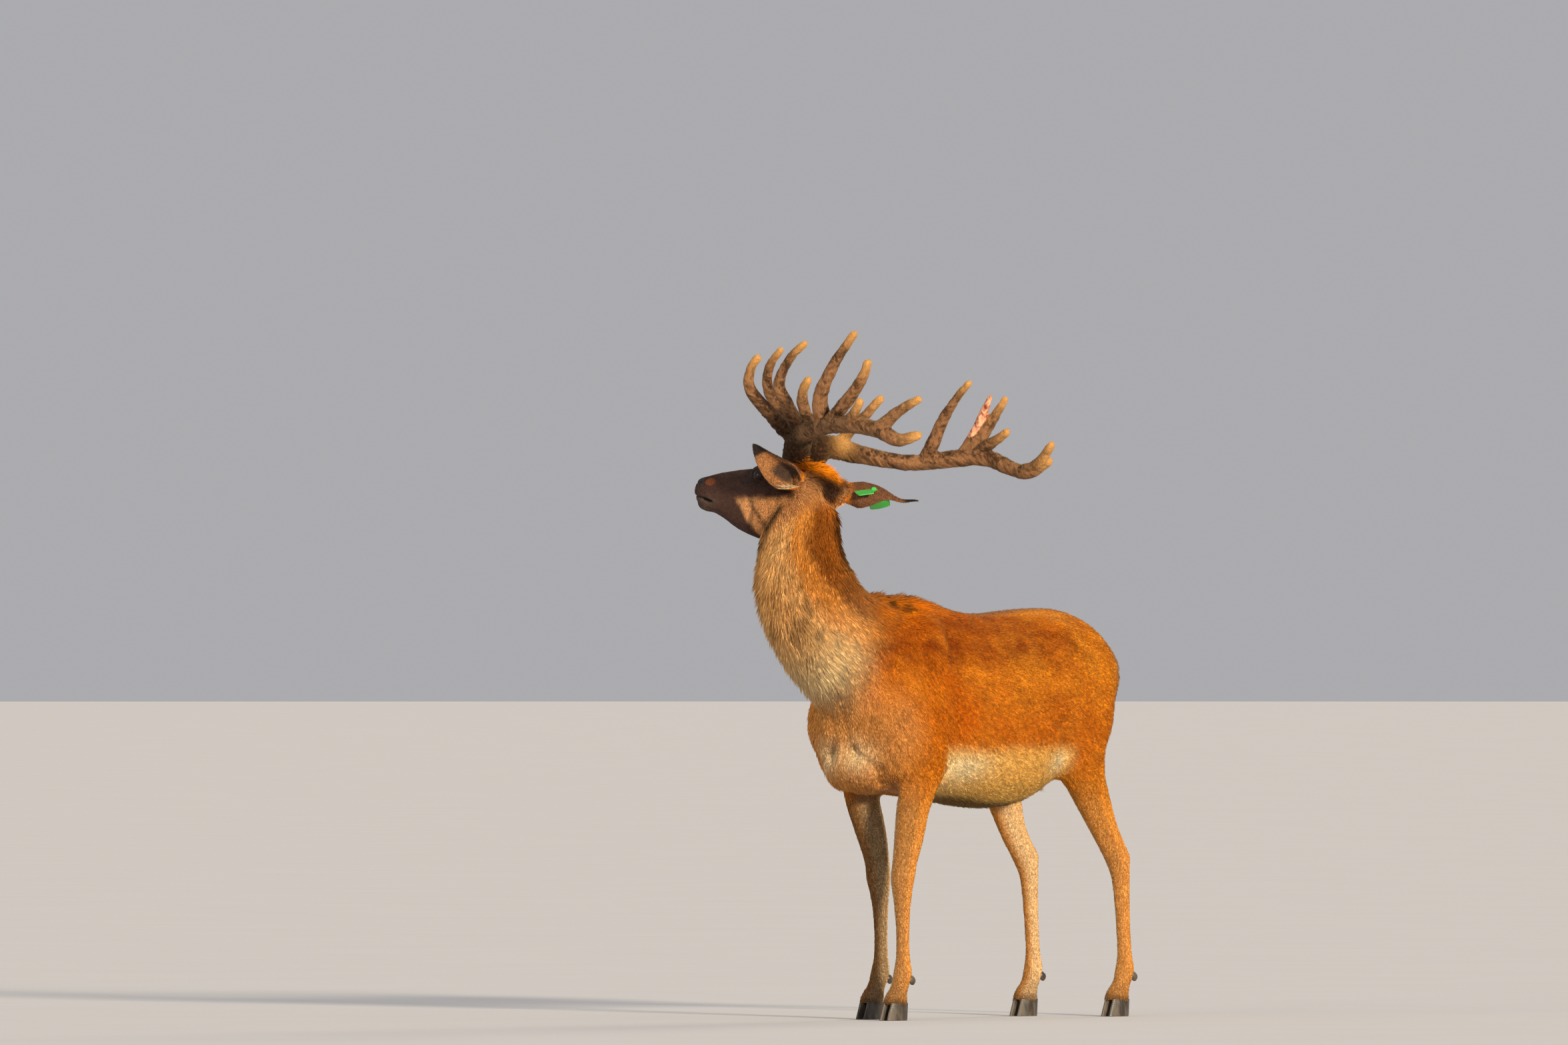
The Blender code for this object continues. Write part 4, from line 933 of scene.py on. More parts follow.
def neck_colour(places):
    up, turn = round_neck(places)
    up = up / (NECK_STEPS - 1)
    way_round = np.abs(turn)
    speck = drift(places * (1, 1, 0.6), 0.013, 5.0, 1)
    streak = drift(places * (1, 1, 0.40), 0.030, 9.0)
    strand = drift(places * (1, 1, 0.30), 0.011, 12.0, 1)
    off_line = np.abs(turn - 20 * step(0.45, 0.80, up) + 28 + 9 * streak)
    stripe = step(26, 10, off_line) * step(0.20, 0.40, up)
    return painted(
        NECK_BEIGE,
        (NECK_GREY, 0.12 + 0.70 * streak + 0.45 * strand),
        (NAPE_DARK, 0.40 * step(0.25, 0.75, speck) * step(30, 80, way_round)),
        (CHEST, 0.40 * (step(118, 160, way_round) * step(0.35, 0.60, up))),
        (RUFOUS_GOLD, 0.70 * step(116, 80, way_round + 14 * streak)),
        (NECK_STRIPE, 0.85 * step(70, 44, way_round + 16 * streak)),
        (RUFOUS_GOLD, 0.55 * step(0.42, 0.10, up) * step(125, 90, way_round) * step(20, 60, way_round)),
        (CREAM, 0.85 * glow(places, THROAT_LIT_PATCH, (0.110, 0.100, 0.130))),
        (NAPE_DARK, stripe * (0.75 + 0.3 * step(-0.1, 0.4, speck))),
    )


# Marks of the face as paths of places behind the nose and above the head's axis: a dark speckled line across
# the cheek, partly speckle and partly painted shadow of a groove, and painted shadow in the groove between
# jaw and neck
CHEEK_SPECKS_AND_SHADE = [(-0.190, -0.006), (-0.160, -0.032), (-0.132, -0.056), (-0.098, -0.070)]
CHEEK_FURROW_SHADOW = [(-0.068, -0.014), (-0.078, -0.045), (-0.088, -0.085), (-0.090, -0.122)]


def nose_pad(local):
    """The bare pad between and round the nostrils, down to the edge of the lip in front."""
    side, y, z = np.abs(local[:, 0]), local[:, 1], local[:, 2]
    return step(-0.384, -0.396, y - 0.10 * side) * np.maximum(
        step(0.014, 0.024, z), step(0.019, 0.012, side),
    )


def face_colour(local, holes, glands, lid):
    side, y, z = np.abs(local[:, 0]), local[:, 1], local[:, 2]
    profile = local[:, 1:]
    slow = drift(local, 0.030, 2.0)
    speck = drift(local * (1, 0.6, 1), 0.008, 4.0, 1)
    # pale cheek and jaw: paler hair, with the upper edge following the ear's painted shadow on the face
    # above
    cheek = step(0.014, -0.010, z - 0.12 * (y + 0.2) + 0.008 * slow)
    cheek *= step(-0.012, 0.012, y + 0.229 + 0.88 * (0.023 + z) + 0.010 * slow)
    cheek *= step(-0.012, 0.010, z + 0.090 + 0.29 * (y + 0.165) + 0.006 * slow)
    cheek = np.maximum(cheek, step(-0.060, -0.020, y) * step(0.095, 0.060, z) * step(0.030, 0.050, side))
    # dark speckled line on the cheek, partly painted shadow of a groove
    marks = nearness(profile, spline(CHEEK_SPECKS_AND_SHADE, 20), 0.015) * step(-0.9, 0.3, speck)
    # painted pool of light on the side of the muzzle
    lit_spot = step(1.1, 0.45, ((y + 0.357) / 0.021) ** 2 + ((z - 0.034) / 0.0125) ** 2)
    crown = step(-0.095, -0.060, y) * step(0.085, 0.112, z)
    dark = step(0.05, 0.45, drift(local, 0.022, 8.0))
    beige = glow(profile, (-0.016, 0.066), (0.030, 0.032)) * step(0.045, 0.060, side)
    # darker round the eye: partly painted shade under the brow
    ring = glow(profile, EYE[1:], (0.034, 0.026)) * step(0.04, 0.06, side)
    return painted(
        FACE,
        (FACE_DARK, 0.60 * step(0.030, 0.075, z + 0.10 * (y + 0.3)) + 0.3 * slow),
        (CHEEK, 0.92 * cheek),
        (FACE_DARK, 0.80 * marks * cheek),
        (NAPE_DARK, 0.30 * step(0.1, 0.6, speck) * cheek),
        # painted shadow in the groove between jaw and neck
        (FACE_DARK, 0.85 * nearness(profile, spline(CHEEK_FURROW_SHADOW, 20), 0.022)),
        (FACE_DARK, 0.60 * step(-0.340, -0.380, y)),
        (CHIN, 0.80 * step(-0.014, -0.024, z - 0.1 * (y + 0.4)) * step(-0.300, -0.350, y)),
        (MUZZLE_LIT_SPOT, 0.90 * (lit_spot * step(0.014, 0.024, side))),
        # painted shadow in the corner of the mouth
        (CHIN, 0.45 * glow(profile, (-0.335, -0.016), (0.030, 0.010))),
        (painted(CROWN_ORANGE, (BACK_BROWN, 0.6 * dark)), crown),
        (EAR_INSIDE, 0.8 * beige),
        (NOSE, 0.96 * nose_pad(local)),
        (FACE_DARK, 0.85 * ring),
        (NOSE, np.maximum(0.9 * lid, 0.9 * glands)),
        # painted shade inside the nostrils and between the lips
        (NOSE * 0.6, step(0.1, 0.6, holes)),
    )


def ear_colour(share, edge, inside, far):
    """Edge is -1 on the ear's lower rim and 1 on its upper one, and far is 1 for the right ear."""
    # painted shadow in the ear's hollow, mostly on the left ear
    hollow = step(-0.42, -0.18, edge) * step(0.62, 0.40, edge)
    hollow *= step(0.56, 0.42, share)
    rim = step(0.80, 0.96, np.abs(edge) - 0.25 * (edge < 0))
    return painted(
        EAR_BACK,
        (CROWN_ORANGE, 0.85 * (1 - inside) * step(0.24, 0.12, share)),
        (EAR_INSIDE, inside),
        (EAR_HOLLOW_SHADOW, inside * (hollow * step(0.10, 0.20, share)) * (1 - 0.75 * far)),
        (CREAM, inside * 0.75 * step(0.36, 0.16, share) * step(-0.40, -0.80, edge)),
        (CREAM, 0.45 * far * inside * step(0.45, 0.20, share)),
        (EAR_DARK, 0.85 * rim * step(0.28, 0.50, share)),
        (EAR_DARK * 0.6, step(0.77, 0.83, share + 0.05 * edge)),
    )


mesh = skin.data
places = places_of(mesh)
local = to_head(places)
part = read(mesh, "part")
hole, gland, lids, crease, ear_place, ear_edge, ear_inside = (read(mesh, note) for note in SKIN_NOTES)
of_head = head_share(places, 0.035)
of_neck = neck_share(places, 0.10)
of_legs = leg_share(places)
colour = body_colour(places)


def lay_over(share, colours):
    """Paints the places that have a share of a part with that part's own colours."""
    close = share > 0
    colour[close] = blended(colour[close], colours(close), share[close, None])


lay_over(of_neck, lambda close: neck_colour(places[close]))
# painted shade in the armpit crease
colour = blended(colour, NAPE_DARK, np.clip(0.20 * crease, 0, 1)[:, None])
lay_over(of_head, lambda close: face_colour(local[close], hole[close], gland[close], lids[close]))
lay_over(of_legs, lambda close: leg_colour(places[close]))
for name, code in EAR_PARTS.items():
    lay_over(part == code, lambda close: ear_colour(
        ear_place[close], ear_edge[close], ear_inside[close], float(name == "ear_right"),
    ))
lay_over(part == TAIL_PART, lambda close: painted(
    RUFOUS, (CREAM, 0.5 * step(0.02, 0.035, np.abs(places[close, 0]))),
))
colour[part == LID_PART] = NOSE
bare = np.maximum.reduce([
    nose_pad(local) * of_head * step(-0.008, 0.0, local[:, 2]), step(0.1, 0.5, hole), 0.9 * gland,
    step(0.2, 0.7, lids), (part == LID_PART) * 1.0,
])


def opaque(colour):
    """A colour for every place, in the form that a mesh keeps it."""
    return np.c_[np.clip(colour, 0.002, 1), np.ones(len(colour))]


noted(mesh, coat=opaque(colour), bare=bare)

# ---- lie of the coat -----------------------------------------------------------------------------
# Which way the hair lies at each place, how long it is and how far it stands out: back and down over the
# trunk, down the neck and legs, from nose to nape on the head, and from root to tip on the ears and tail.

x, y, z = np.abs(places[:, 0]), places[:, 1], places[:, 2]
down = np.interp(y, (-0.25, -0.10, 0.10, 0.30, 0.60, 0.80, 0.95), (3.0, 1.8, 1.15, 0.6, 0.5, 0.8, 2.2))
up_neck, neck_turn = round_neck(places)
along_neck = unit(-neck_line(NECK_STEPS)[1][up_neck] + (0, 0, -0.25))
head_down = 0.9 * step(-0.25, -0.05, local[:, 1]) * step(0.07, -0.02, local[:, 2])
head_lie = unit(np.stack([0 * down, 0 * down + 1, -head_down], 1)) @ HEAD_AXES.T
lie = unit(np.stack([0 * down, 0 * down + 1, -down], 1))
for way, share in ((along_neck, of_neck), (head_lie, of_head), (np.array((0, 0.12, -0.99)), of_legs)):
    lie = unit(blended(lie, way, share[:, None]))
for name, code in EAR_PARTS.items():
    lie[part == code] = np.array(turned_with_head(ear_frame(name)[1]))
lie[part == TAIL_PART] = (0, 0.05, -1)

throat = step(80, 150, np.abs(neck_turn))
belly = step(0.75, 0.66, z) * (1 - of_legs)
chest = step(-0.10, -0.22, y) * step(1.05, 0.90, z) * step(0.70, 0.86, z)
crown = step(-0.085, -0.040, local[:, 1]) * step(0.060, 0.105, local[:, 2])
withers = step(0.12, 0.03, x) * step(0.30, 0.0, y) * step(1.12, 1.20, z)
cheek = step(-0.24, -0.06, local[:, 1])
near_head = head_share(places, 0.085)
rim_hair = ear_inside * step(0.50, 0.20, ear_place) * step(-0.30, -0.85, ear_edge)
ears = np.isin(part, list(EAR_PARTS.values()))

hair = 0.0205 + 0.004 * belly + 0.002 * chest + 0.014 * withers + 0.006 * step(0.90, 0.96, y)
hair = blended(hair, 0.033 + 0.012 * throat, of_neck)
hair = blended(hair, 0.0048 + 0.0100 * cheek, near_head) + 0.016 * crown * of_head
hair = blended(hair, 0.011 + 0.005 * step(0.075, 0.055, z), of_legs)
hair = np.where(ears, 0.0070 + 0.014 * rim_hair, hair)
lift = blended(8.5 + 2 * belly + 1 * chest + 10 * withers, 13 + 4 * throat, of_neck)
lift = blended(lift, 6 + 6 * cheek, near_head) + 10 * crown * of_head
lift = np.where(ears, 7 + 14 * rim_hair, blended(lift, 7, of_legs))
for values, of_tail in ((hair, 0.034), (lift, 8)):
    values[part == TAIL_PART] = of_tail
thick = (1 - bare) * (part != LID_PART) * step(0.05, 0.055, z)
noted(mesh, lie=lie, hair=hair, lift=np.radians(lift), thick=thick)

# The trunk's four patches are 0 to 3: left front, left rear, right front, right rear
NECK_LOW, NECK_HIGH, HEAD_PATCH, FORELEGS, HINDLEGS, EARS_TAIL = range(4, 10)
centres = taken(mesh.polygons, "center", 3).astype(float)
corners = taken(mesh.loops, "vertex_index", 1, np.int32)
face_part = part[corners[taken(mesh.polygons, "loop_start", 1, np.int32)]]
patch = np.where(centres[:, 0] > 0, 0, 2) + (centres[:, 1] > 0.36)
on_neck = neck_share(centres) > 0.5
patch[on_neck] = np.where(centres[on_neck, 2] > 1.20, NECK_HIGH, NECK_LOW)
patch[head_share(centres) > 0.5] = HEAD_PATCH
on_leg = leg_share(centres) > 0.5
patch[on_leg] = np.where(centres[on_leg, 1] < 0.4, FORELEGS, HINDLEGS)
patch[np.isin(face_part, [*EAR_PARTS.values(), TAIL_PART])] = EARS_TAIL
noted(mesh, patch=patch)

# ---- finish of the skin --------------------------------------------------------------------------
# Skin with the shortest hair lying flat on it, which shows only between the tufts, and the bare black hide
# of the nose pad, lips, tear glands and eyelids.


class Level:
    """A number that changes from place to place. Arithmetic on it adds Math nodes to its tree."""

    def __init__(self, nodes, socket):
        self.nodes, self.socket = nodes, socket

    def _math(self, operation, a, b):
        node = self.nodes.node("ShaderNodeMath", {"operation": operation}, {0: a, 1: b})
        return Level(self.nodes, node.outputs[0])

    def __add__(self, other):
        return self._math("ADD", self, other)

    def __sub__(self, other):
        return self._math("SUBTRACT", self, other)

    def __rsub__(self, other):
        return self._math("SUBTRACT", other, self)

    def __mul__(self, other):
        return self._math("MULTIPLY", self, other)

    __radd__ = __add__
    __rmul__ = __mul__


class Nodes:
    """A tree of nodes in the making."""

    def node(self, kind, settings=None, sockets=None):
        """Adds a node: its settings first, then the values or links of its sockets."""
        node = self.tree.nodes.new(kind)
        for name, value in (settings or {}).items():
            if name == "stops":
                while len(node.color_ramp.elements) < len(value):
                    node.color_ramp.elements.new(1.0)
                for stop, (place, colour) in zip(node.color_ramp.elements, value):
                    stop.position = place
                    stop.color = (*colour, 1)
            else:
                setattr(node, name, value)
        for name, value in (sockets or {}).items():
            self.put(node.inputs[name], value)
        return node

    def put(self, socket, value):
        """Sets a socket to a value, or links it."""
        value = value.socket if isinstance(value, Level) else value
        if isinstance(value, bpy.types.NodeSocket):
            self.tree.links.new(value, socket)
        else:
            socket.default_value = value


class Finish(Nodes):
    """A material in the making, with one method for every kind of node."""

    def __init__(self, name, **constants):
        self.material = bpy.data.materials.new(name)
        self.material.use_nodes = True
        self.tree = self.material.node_tree
        self.shader = self.tree.nodes["Principled BSDF"]
        self.feed(**constants)

    def attribute(self, name):
        return self.node("ShaderNodeAttribute", {"attribute_name": name})

    def level(self, name):
        return Level(self, self.attribute(name).outputs["Fac"])

    def noise(self, scale, detail=2.0, stretch=(1, 1, 1), roughness=0.5, place=None):
        """Random change over the object, or over an attribute's places, of this many cells to the metre."""
        place = place or self.node("ShaderNodeTexCoord").outputs["Object"]
        place = self.node("ShaderNodeMapping", None, {"Vector": place, "Scale": stretch}).outputs[0]
        sockets = {"Vector": place, "Scale": scale, "Detail": detail, "Roughness": roughness}
        return Level(self, self.node("ShaderNodeTexNoise", None, sockets).outputs["Fac"])

    def between(self, level, low, high):
        """0 below low and 1 above high."""
        sockets = {"Value": level, "From Min": low, "From Max": high}
        return Level(self, self.node("ShaderNodeMapRange", {"clamp": True}, sockets).outputs["Result"])

    def blend(self, share, a, b, how="MIX"):
        """One colour over another."""
        settings = {"data_type": "RGBA", "blend_type": how}
        return self.node("ShaderNodeMix", settings, {"Factor": share, 6: a, 7: b}).outputs[2]

    def times(self, a, b):
        return self.blend(1.0, a, b, "MULTIPLY")

    def coat(self):
        return self.attribute("coat").outputs["Color"]

    def ramp(self, level, *stops):
        """A colour for each height of a level, even between the stops."""
        return self.node("ShaderNodeValToRGB", {"stops": stops}, {"Fac": level}).outputs["Color"]

    def feed(self, **values):
        for name, value in values.items():
            self.put(self.shader.inputs[name.replace("_", " ")], value)

    def bumped(self, height, distance, strength=1.0):
        sockets = {"Height": height, "Distance": distance, "Strength": strength}
        self.feed(Normal=self.node("ShaderNodeBump", None, sockets).outputs["Normal"])


def hide_finish():
    finish = Finish("hide", Specular_IOR_Level=0.35)
    bare = finish.level("bare")
    strands = finish.noise(420.0, 3.0, (1.0, 0.35, 0.35))
    grain = finish.noise(900.0, 2.0)
    coat = finish.coat()
    dark = finish.blend(finish.between(strands, 0.35, 0.62), (0.42, 0.40, 0.38, 1), (1, 1, 1, 1))
    finish.feed(Base_Color=finish.blend(bare, finish.times(coat, dark), coat), Roughness=0.85 - bare * 0.33)
    finish.bumped(strands * (1 - bare) + grain * bare * 0.5, 0.0012, 0.7)
    return finish.material


FLESH_NODES = ["head", "neck_upper", "neck_lower", "trunk", "tail", "ear_left", "ear_right"]
FLESH_NODES += [f"{leg}_{length}" for leg in LEGS for length in ("upper", "cannon", "pastern")]


def placed(obj, finish, nodes=()):
    """Moves a finished piece from the maker's axes to the model's, dresses it, hangs it from the root, and
    hides the parts of the model that it stands in for.
    """
    obj.data.transform(Matrix.Translation(SHIFT))
    obj.data.materials.clear()
    obj.data.materials.append(finish)
    obj.data.shade_smooth()
    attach(obj, "root")
    if nodes:
        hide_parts(*nodes)
    return obj


placed(skin, hide_finish(), FLESH_NODES)

# ---- eyes ----------------------------------------------------------------------------------------
# Glossy dark brown eyeballs with a long level pupil. Each is one fine ball with a raised front, as deep in
# its socket as a living one.


def eyeball(name, sign):
    """A fine ball with a raised cornea. Its points know how far they are from the pupil."""
    centre, gaze, corner, up = eye_axes(sign)
    obj = bulge(name, centre, (EYE_RADIUS,) * 3, (0, 0, 0), 64, 40)
    places = places_of(obj.data)
    away = (places - centre) / EYE_RADIUS
    front = away @ gaze
    cornea = step(0.72, 1.0, front)
    settle(obj.data, places + (cornea * 0.0011)[:, None] * gaze)
    behind = 3 * (front < 0)
    noted(obj.data, pupil=np.hypot((away @ corner) / 0.46, (away @ up) / 0.24) + behind,
          iris=np.hypot(away @ corner, away @ up) + behind)
    return in_head(obj)


def eye_finish():
    finish = Finish("eye", Roughness=0.13, Specular_IOR_Level=0.30)
    pupil = finish.between(finish.level("pupil"), 0.85, 1.15)
    iris = finish.between(finish.level("iris"), 0.66, 0.80)
    brown = finish.blend(finish.noise(500.0, 2.0), (0.012, 0.005, 0.002, 1), (0.034, 0.014, 0.006, 1))
    seen = finish.blend(pupil, (0.002, 0.003, 0.006, 1), brown)
    finish.feed(Base_Color=finish.blend(iris, seen, (0.030, 0.018, 0.012, 1)))
    return finish.material


eye_look = eye_finish()
for name, sign in (("eye_left", 1), ("eye_right", -1)):
    placed(eyeball(name + "_ball", sign), eye_look, [name])

# ---- antlers in velvet ---------------------------------------------------------------------------
# Growing antlers under velvet skin: beams with blunt tines, thick at the burr, dark and lumpy at the base
# and golden grey above; the base's darkness is partly painted shade. The velvet on the outer right tine has
# peeled to the bone.

ANTLER_VOXEL, ANTLER_EVENINGS = 0.0029, 8
PILE_LONG, PILE_LIFT = 0.0030, math.radians(48)  # length of the velvet's pile, and how far it stands out
# Each beam's line and radius, in the head's axes with x outwards: out, back, up, radius
BEAMS = {
    "left": [
        (0.044, -0.076, 0.128, 0.036),
        (0.048, -0.072, 0.162, 0.041),
        (0.078, -0.042, 0.205, 0.034),
        (0.180, 0.060, 0.226, 0.026),
        (0.262, 0.172, 0.243, 0.026),
        (0.310, 0.290, 0.252, 0.026),
        (0.332, 0.388, 0.242, 0.023),
        (0.330, 0.450, 0.226, 0.021),
        (0.312, 0.515, 0.256, 0.014),
    ],
    "right": [
        (0.044, -0.076, 0.128, 0.036),
        (0.048, -0.070, 0.162, 0.041),
        (0.075, -0.046, 0.192, 0.036),
        (0.150, 0.016, 0.187, 0.029),
        (0.262, 0.122, 0.190, 0.024),
        (0.335, 0.225, 0.225, 0.027),
        (0.360, 0.315, 0.243, 0.026),
        (0.365, 0.405, 0.224, 0.023),
        (0.350, 0.482, 0.220, 0.020),
        (0.338, 0.558, 0.268, 0.013),
    ],
}
# Each tine: its line from root to tip, in the same axes, and its radius at root and tip
TINES = {
    "left": {
        "brow": ([(0.052, -0.078, 0.190), (0.080, -0.185, 0.268), (0.100, -0.236, 0.318),
            (0.106, -0.242, 0.375), (0.098, -0.224, 0.420)], 0.023, 0.012),
        "bez": ([(0.078, -0.046, 0.212), (0.108, -0.096, 0.290), (0.130, -0.121, 0.345),
            (0.132, -0.096, 0.425), (0.112, -0.060, 0.480)], 0.023, 0.010),
        "royal": ([(0.226, 0.120, 0.232), (0.248, 0.104, 0.312), (0.262, 0.124, 0.375),
            (0.270, 0.160, 0.450), (0.262, 0.198, 0.528)], 0.025, 0.012),
        "royal_back": ([(0.250, 0.150, 0.240), (0.265, 0.190, 0.292), (0.285, 0.240, 0.348),
            (0.292, 0.266, 0.400), (0.290, 0.274, 0.450)], 0.023, 0.013),
        "surroyal": ([(0.280, 0.205, 0.246), (0.310, 0.250, 0.258), (0.342, 0.290, 0.286),
            (0.360, 0.318, 0.328)], 0.022, 0.012),
        "crown_top": ([(0.330, 0.370, 0.244), (0.338, 0.415, 0.288), (0.345, 0.462, 0.325),
            (0.350, 0.515, 0.358)], 0.021, 0.012),
    },
    "right": {
        "brow": ([(0.052, -0.075, 0.195), (0.078, -0.205, 0.258), (0.088, -0.290, 0.325),
            (0.090, -0.305, 0.395), (0.082, -0.265, 0.463)], 0.022, 0.011),
        "bez": ([(0.066, -0.060, 0.196), (0.095, -0.160, 0.285), (0.108, -0.188, 0.340),
            (0.108, -0.172, 0.388)], 0.020, 0.012),
        "tray": ([(0.096, -0.032, 0.192), (0.115, -0.008, 0.248), (0.138, 0.035, 0.320),
            (0.140, 0.068, 0.366)], 0.020, 0.013),
        "royal": ([(0.292, 0.155, 0.196), (0.290, 0.176, 0.270), (0.280, 0.198, 0.328),
            (0.266, 0.238, 0.392), (0.250, 0.290, 0.456)], 0.022, 0.011),
        "surroyal": ([(0.346, 0.245, 0.232), (0.358, 0.266, 0.308), (0.356, 0.284, 0.372),
            (0.350, 0.303, 0.430)], 0.020, 0.009),
        "surroyal_back": ([(0.352, 0.268, 0.240), (0.368, 0.296, 0.325), (0.380, 0.316, 0.380),
            (0.380, 0.338, 0.432)], 0.022, 0.010),
        "crown_low": ([(0.354, 0.280, 0.242), (0.342, 0.326, 0.276), (0.328, 0.370, 0.304),
            (0.318, 0.406, 0.333)], 0.020, 0.012),
        "crown_top": ([(0.355, 0.460, 0.222), (0.335, 0.512, 0.246), (0.315, 0.546, 0.280),
            (0.300, 0.574, 0.316)], 0.019, 0.012),
    },
}
VELVET_GOLD = paint(138, 100, 70)
VELVET_BROWN = paint(82, 58, 42)
VELVET_DARK = paint(44, 30, 23)
VELVET_PALE = paint(222, 168, 98)
BONE = paint(226, 170, 138)
RAW = paint(126, 54, 38)
ANTLER_PARTS = {"left": ("base", "middle", "crown"), "right": ("base", "middle", "crown", "end")}


def tube(name, points, radii):
    """A tube with round ends, as a curve object with a radius at each point."""
    curve = bpy.data.curves.new(name, "CURVE")
    curve.dimensions = "3D"
    curve.bevel_depth = 1.0
    curve.bevel_resolution = 5
    curve.use_fill_caps = True
    line = curve.splines.new("POLY")
    line.points.add(len(points) - 1)
    for point, place, radius in zip(line.points, points, radii):
        point.co = (*place, 1)
        point.radius = radius
    return linked(name, curve)


def rounded(points, radii):
    """Shrinks the last stretch of a line's radii to a blunt dome."""
    reach = np.linalg.norm(np.diff(points, axis=0), axis=1)
    left = np.concatenate([np.cumsum(reach[::-1])[::-1], [0]])
    inside = np.clip(left / radii[-1], 0, 1)
    return radii * np.sqrt(np.maximum(1 - (1 - inside) ** 2, 0.02))


def tine_line(side, name):
    points, thick, thin = TINES[side][name]
    along = np.linspace(0, 1, 26)
    swell = 1 + 0.22 * np.exp(-along * 9)
    return spline(points, 26), (thick + (thin - thick) * along**1.3) * swell


def velvet_colour(grain, tips, base, peeled, pale, top):
    streak = drift(grain, 0.012, 3.0)
    blotch = drift(grain, 0.045, 8.0)
    fine = drift(grain, 0.0062, 5.0, 1)
    scabs = step(0.20, 0.75, fine + 0.8 * blotch + 0.45 * top - 0.30 * tips)
    return painted(
        VELVET_GOLD,
        (VELVET_BROWN, 0.42 + 0.9 * streak + 0.5 * blotch),
        (VELVET_DARK, 0.80 * scabs * (1 - 0.8 * tips)),
        (VELVET_PALE, 0.68 * tips),
        # dark base: dark velvet, partly painted shade
        (VELVET_DARK, base * (0.95 + 0.4 * fine)),
        (VELVET_PALE, pale),
        (RAW, step(0.20, 0.36, peeled)),
        (painted(BONE, (RAW, 0.38 + 1.1 * streak)), step(0.40, 0.52, peeled)),
    )


def antler(side):
    """One antler grown together from its beam and tines, lumpy and veined under its velvet."""
    sign = 1 if side == "left" else -1
    rows = spline(BEAMS[side], 64)
    lines = {"beam": (rows[:, :3], rows[:, 3])}
    for name in TINES[side]:
        lines[name] = tine_line(side, name)
    made = [
        as_mesh(tube(f"{side}_{name}", points * (sign, 1, 1), rounded(points, radii)))
        for name, (points, radii) in lines.items()
    ]
    if side == "right":
        made.append(bulge("palm", (-0.362, 0.285, 0.300), (0.013, 0.027, 0.052), (-14, 0, 0)))
    obj = grown_together(joined("antler_" + side, made), ANTLER_VOXEL)
    evened(obj.data, ANTLER_EVENINGS, np.ones(len(obj.data.vertices)))
    places = places_of(obj.data)
    normals = normals_of(obj.data)
    closest = np.full(len(places), 99.0)
    grain, heading, chart = (np.zeros((len(places), 3)) for _ in range(3))
    tips = np.zeros(len(places))
    for row, (points, radii) in enumerate(lines.values()):
        points = points * (sign, 1, 1)
        tips = np.maximum(tips, np.exp(-((places - points[-1]) ** 2).sum(1) / 0.045**2))
        run, ahead = run_of(points), heading_of(points)
        gap = ((places[:, None] - points[None]) ** 2).sum(2) / radii[None] ** 2
        best = gap.argmin(1)
        mine = gap[np.arange(len(places)), best] < closest
        at = best[mine]
        closest[mine] = gap[mine, at]
        away = places[mine] - points[at]
        side_way = unit(np.cross(ahead[at], (0.3, -0.2, 0.93)))
        turn = np.arctan2((away * np.cross(ahead[at], side_way)).sum(1), (away * side_way).sum(1))
        beyond = run[at] + (away * ahead[at]).sum(1)
        away -= ahead[at] * (away * ahead[at]).sum(1)[:, None]
        grain[mine] = away + (0.55 * beyond + 0.37 * row)[:, None]
        heading[mine] = ahead[at]
        chart[mine] = np.stack([beyond, turn + 7.0 * row, 0 * turn], 1)
    # the base, lumpy and darkened by painted shade as well as dark velvet
    base = step(0.30, 0.21, places[:, 2] + 0.4 * np.maximum(places[:, 1], 0))
    base *= step(0.17, 0.10, np.abs(places[:, 0]))
    furrows = np.maximum(drift(grain, 0.012, 1.0), 0) * 0.0022 * (1 + base)
    lumps = drift(places, 0.020, 1.0) * 0.0012 + drift(places, 0.050, 6.0) * 0.0020 - furrows
    pearls = np.maximum(drift(places, 0.008, 12.0, 1), 0) * 0.0042 * base
    settle(obj.data, places + normals * (lumps + pearls - 0.0008)[:, None])
    pale, peeled = np.zeros((2, len(places)))
    if side == "right":
        outer, inner = lines["surroyal"][0][9:] * (sign, 1, 1), lines["surroyal_back"][0] * (sign, 1, 1)
        to_outer, to_inner = (((places[:, None] - line[None]) ** 2).sum(2).min(1) for line in (outer, inner))
        peeled = nearness(places, outer, 0.034) ** 0.3
        peeled *= (step(-0.00005, 0.0002, to_inner - to_outer)
                   * step(-0.7, 0.1, normals @ np.array((0.6, 0.8, 0.1))))
        pale = 0.85 * np.exp(-((places - (-0.100, -0.020, 0.205)) ** 2).sum(1) / 0.034**2)
    colour = velvet_colour(grain, tips, base * (1 - pale), peeled, pale, step(-0.2, 0.7, normals[:, 2]))
    noted(
        obj.data, coat=opaque(colour), grain=grain, lie=heading @ HEAD_AXES.T, chart=chart,
        hair=PILE_LONG + 0.0012 * tips, lift=np.full(len(places), PILE_LIFT),
        thick=1 - step(0.15, 0.3, peeled), bare=step(0.3, 0.5, peeled),
        patch=np.zeros(len(obj.data.polygons), int),
    )
    return in_head(obj)


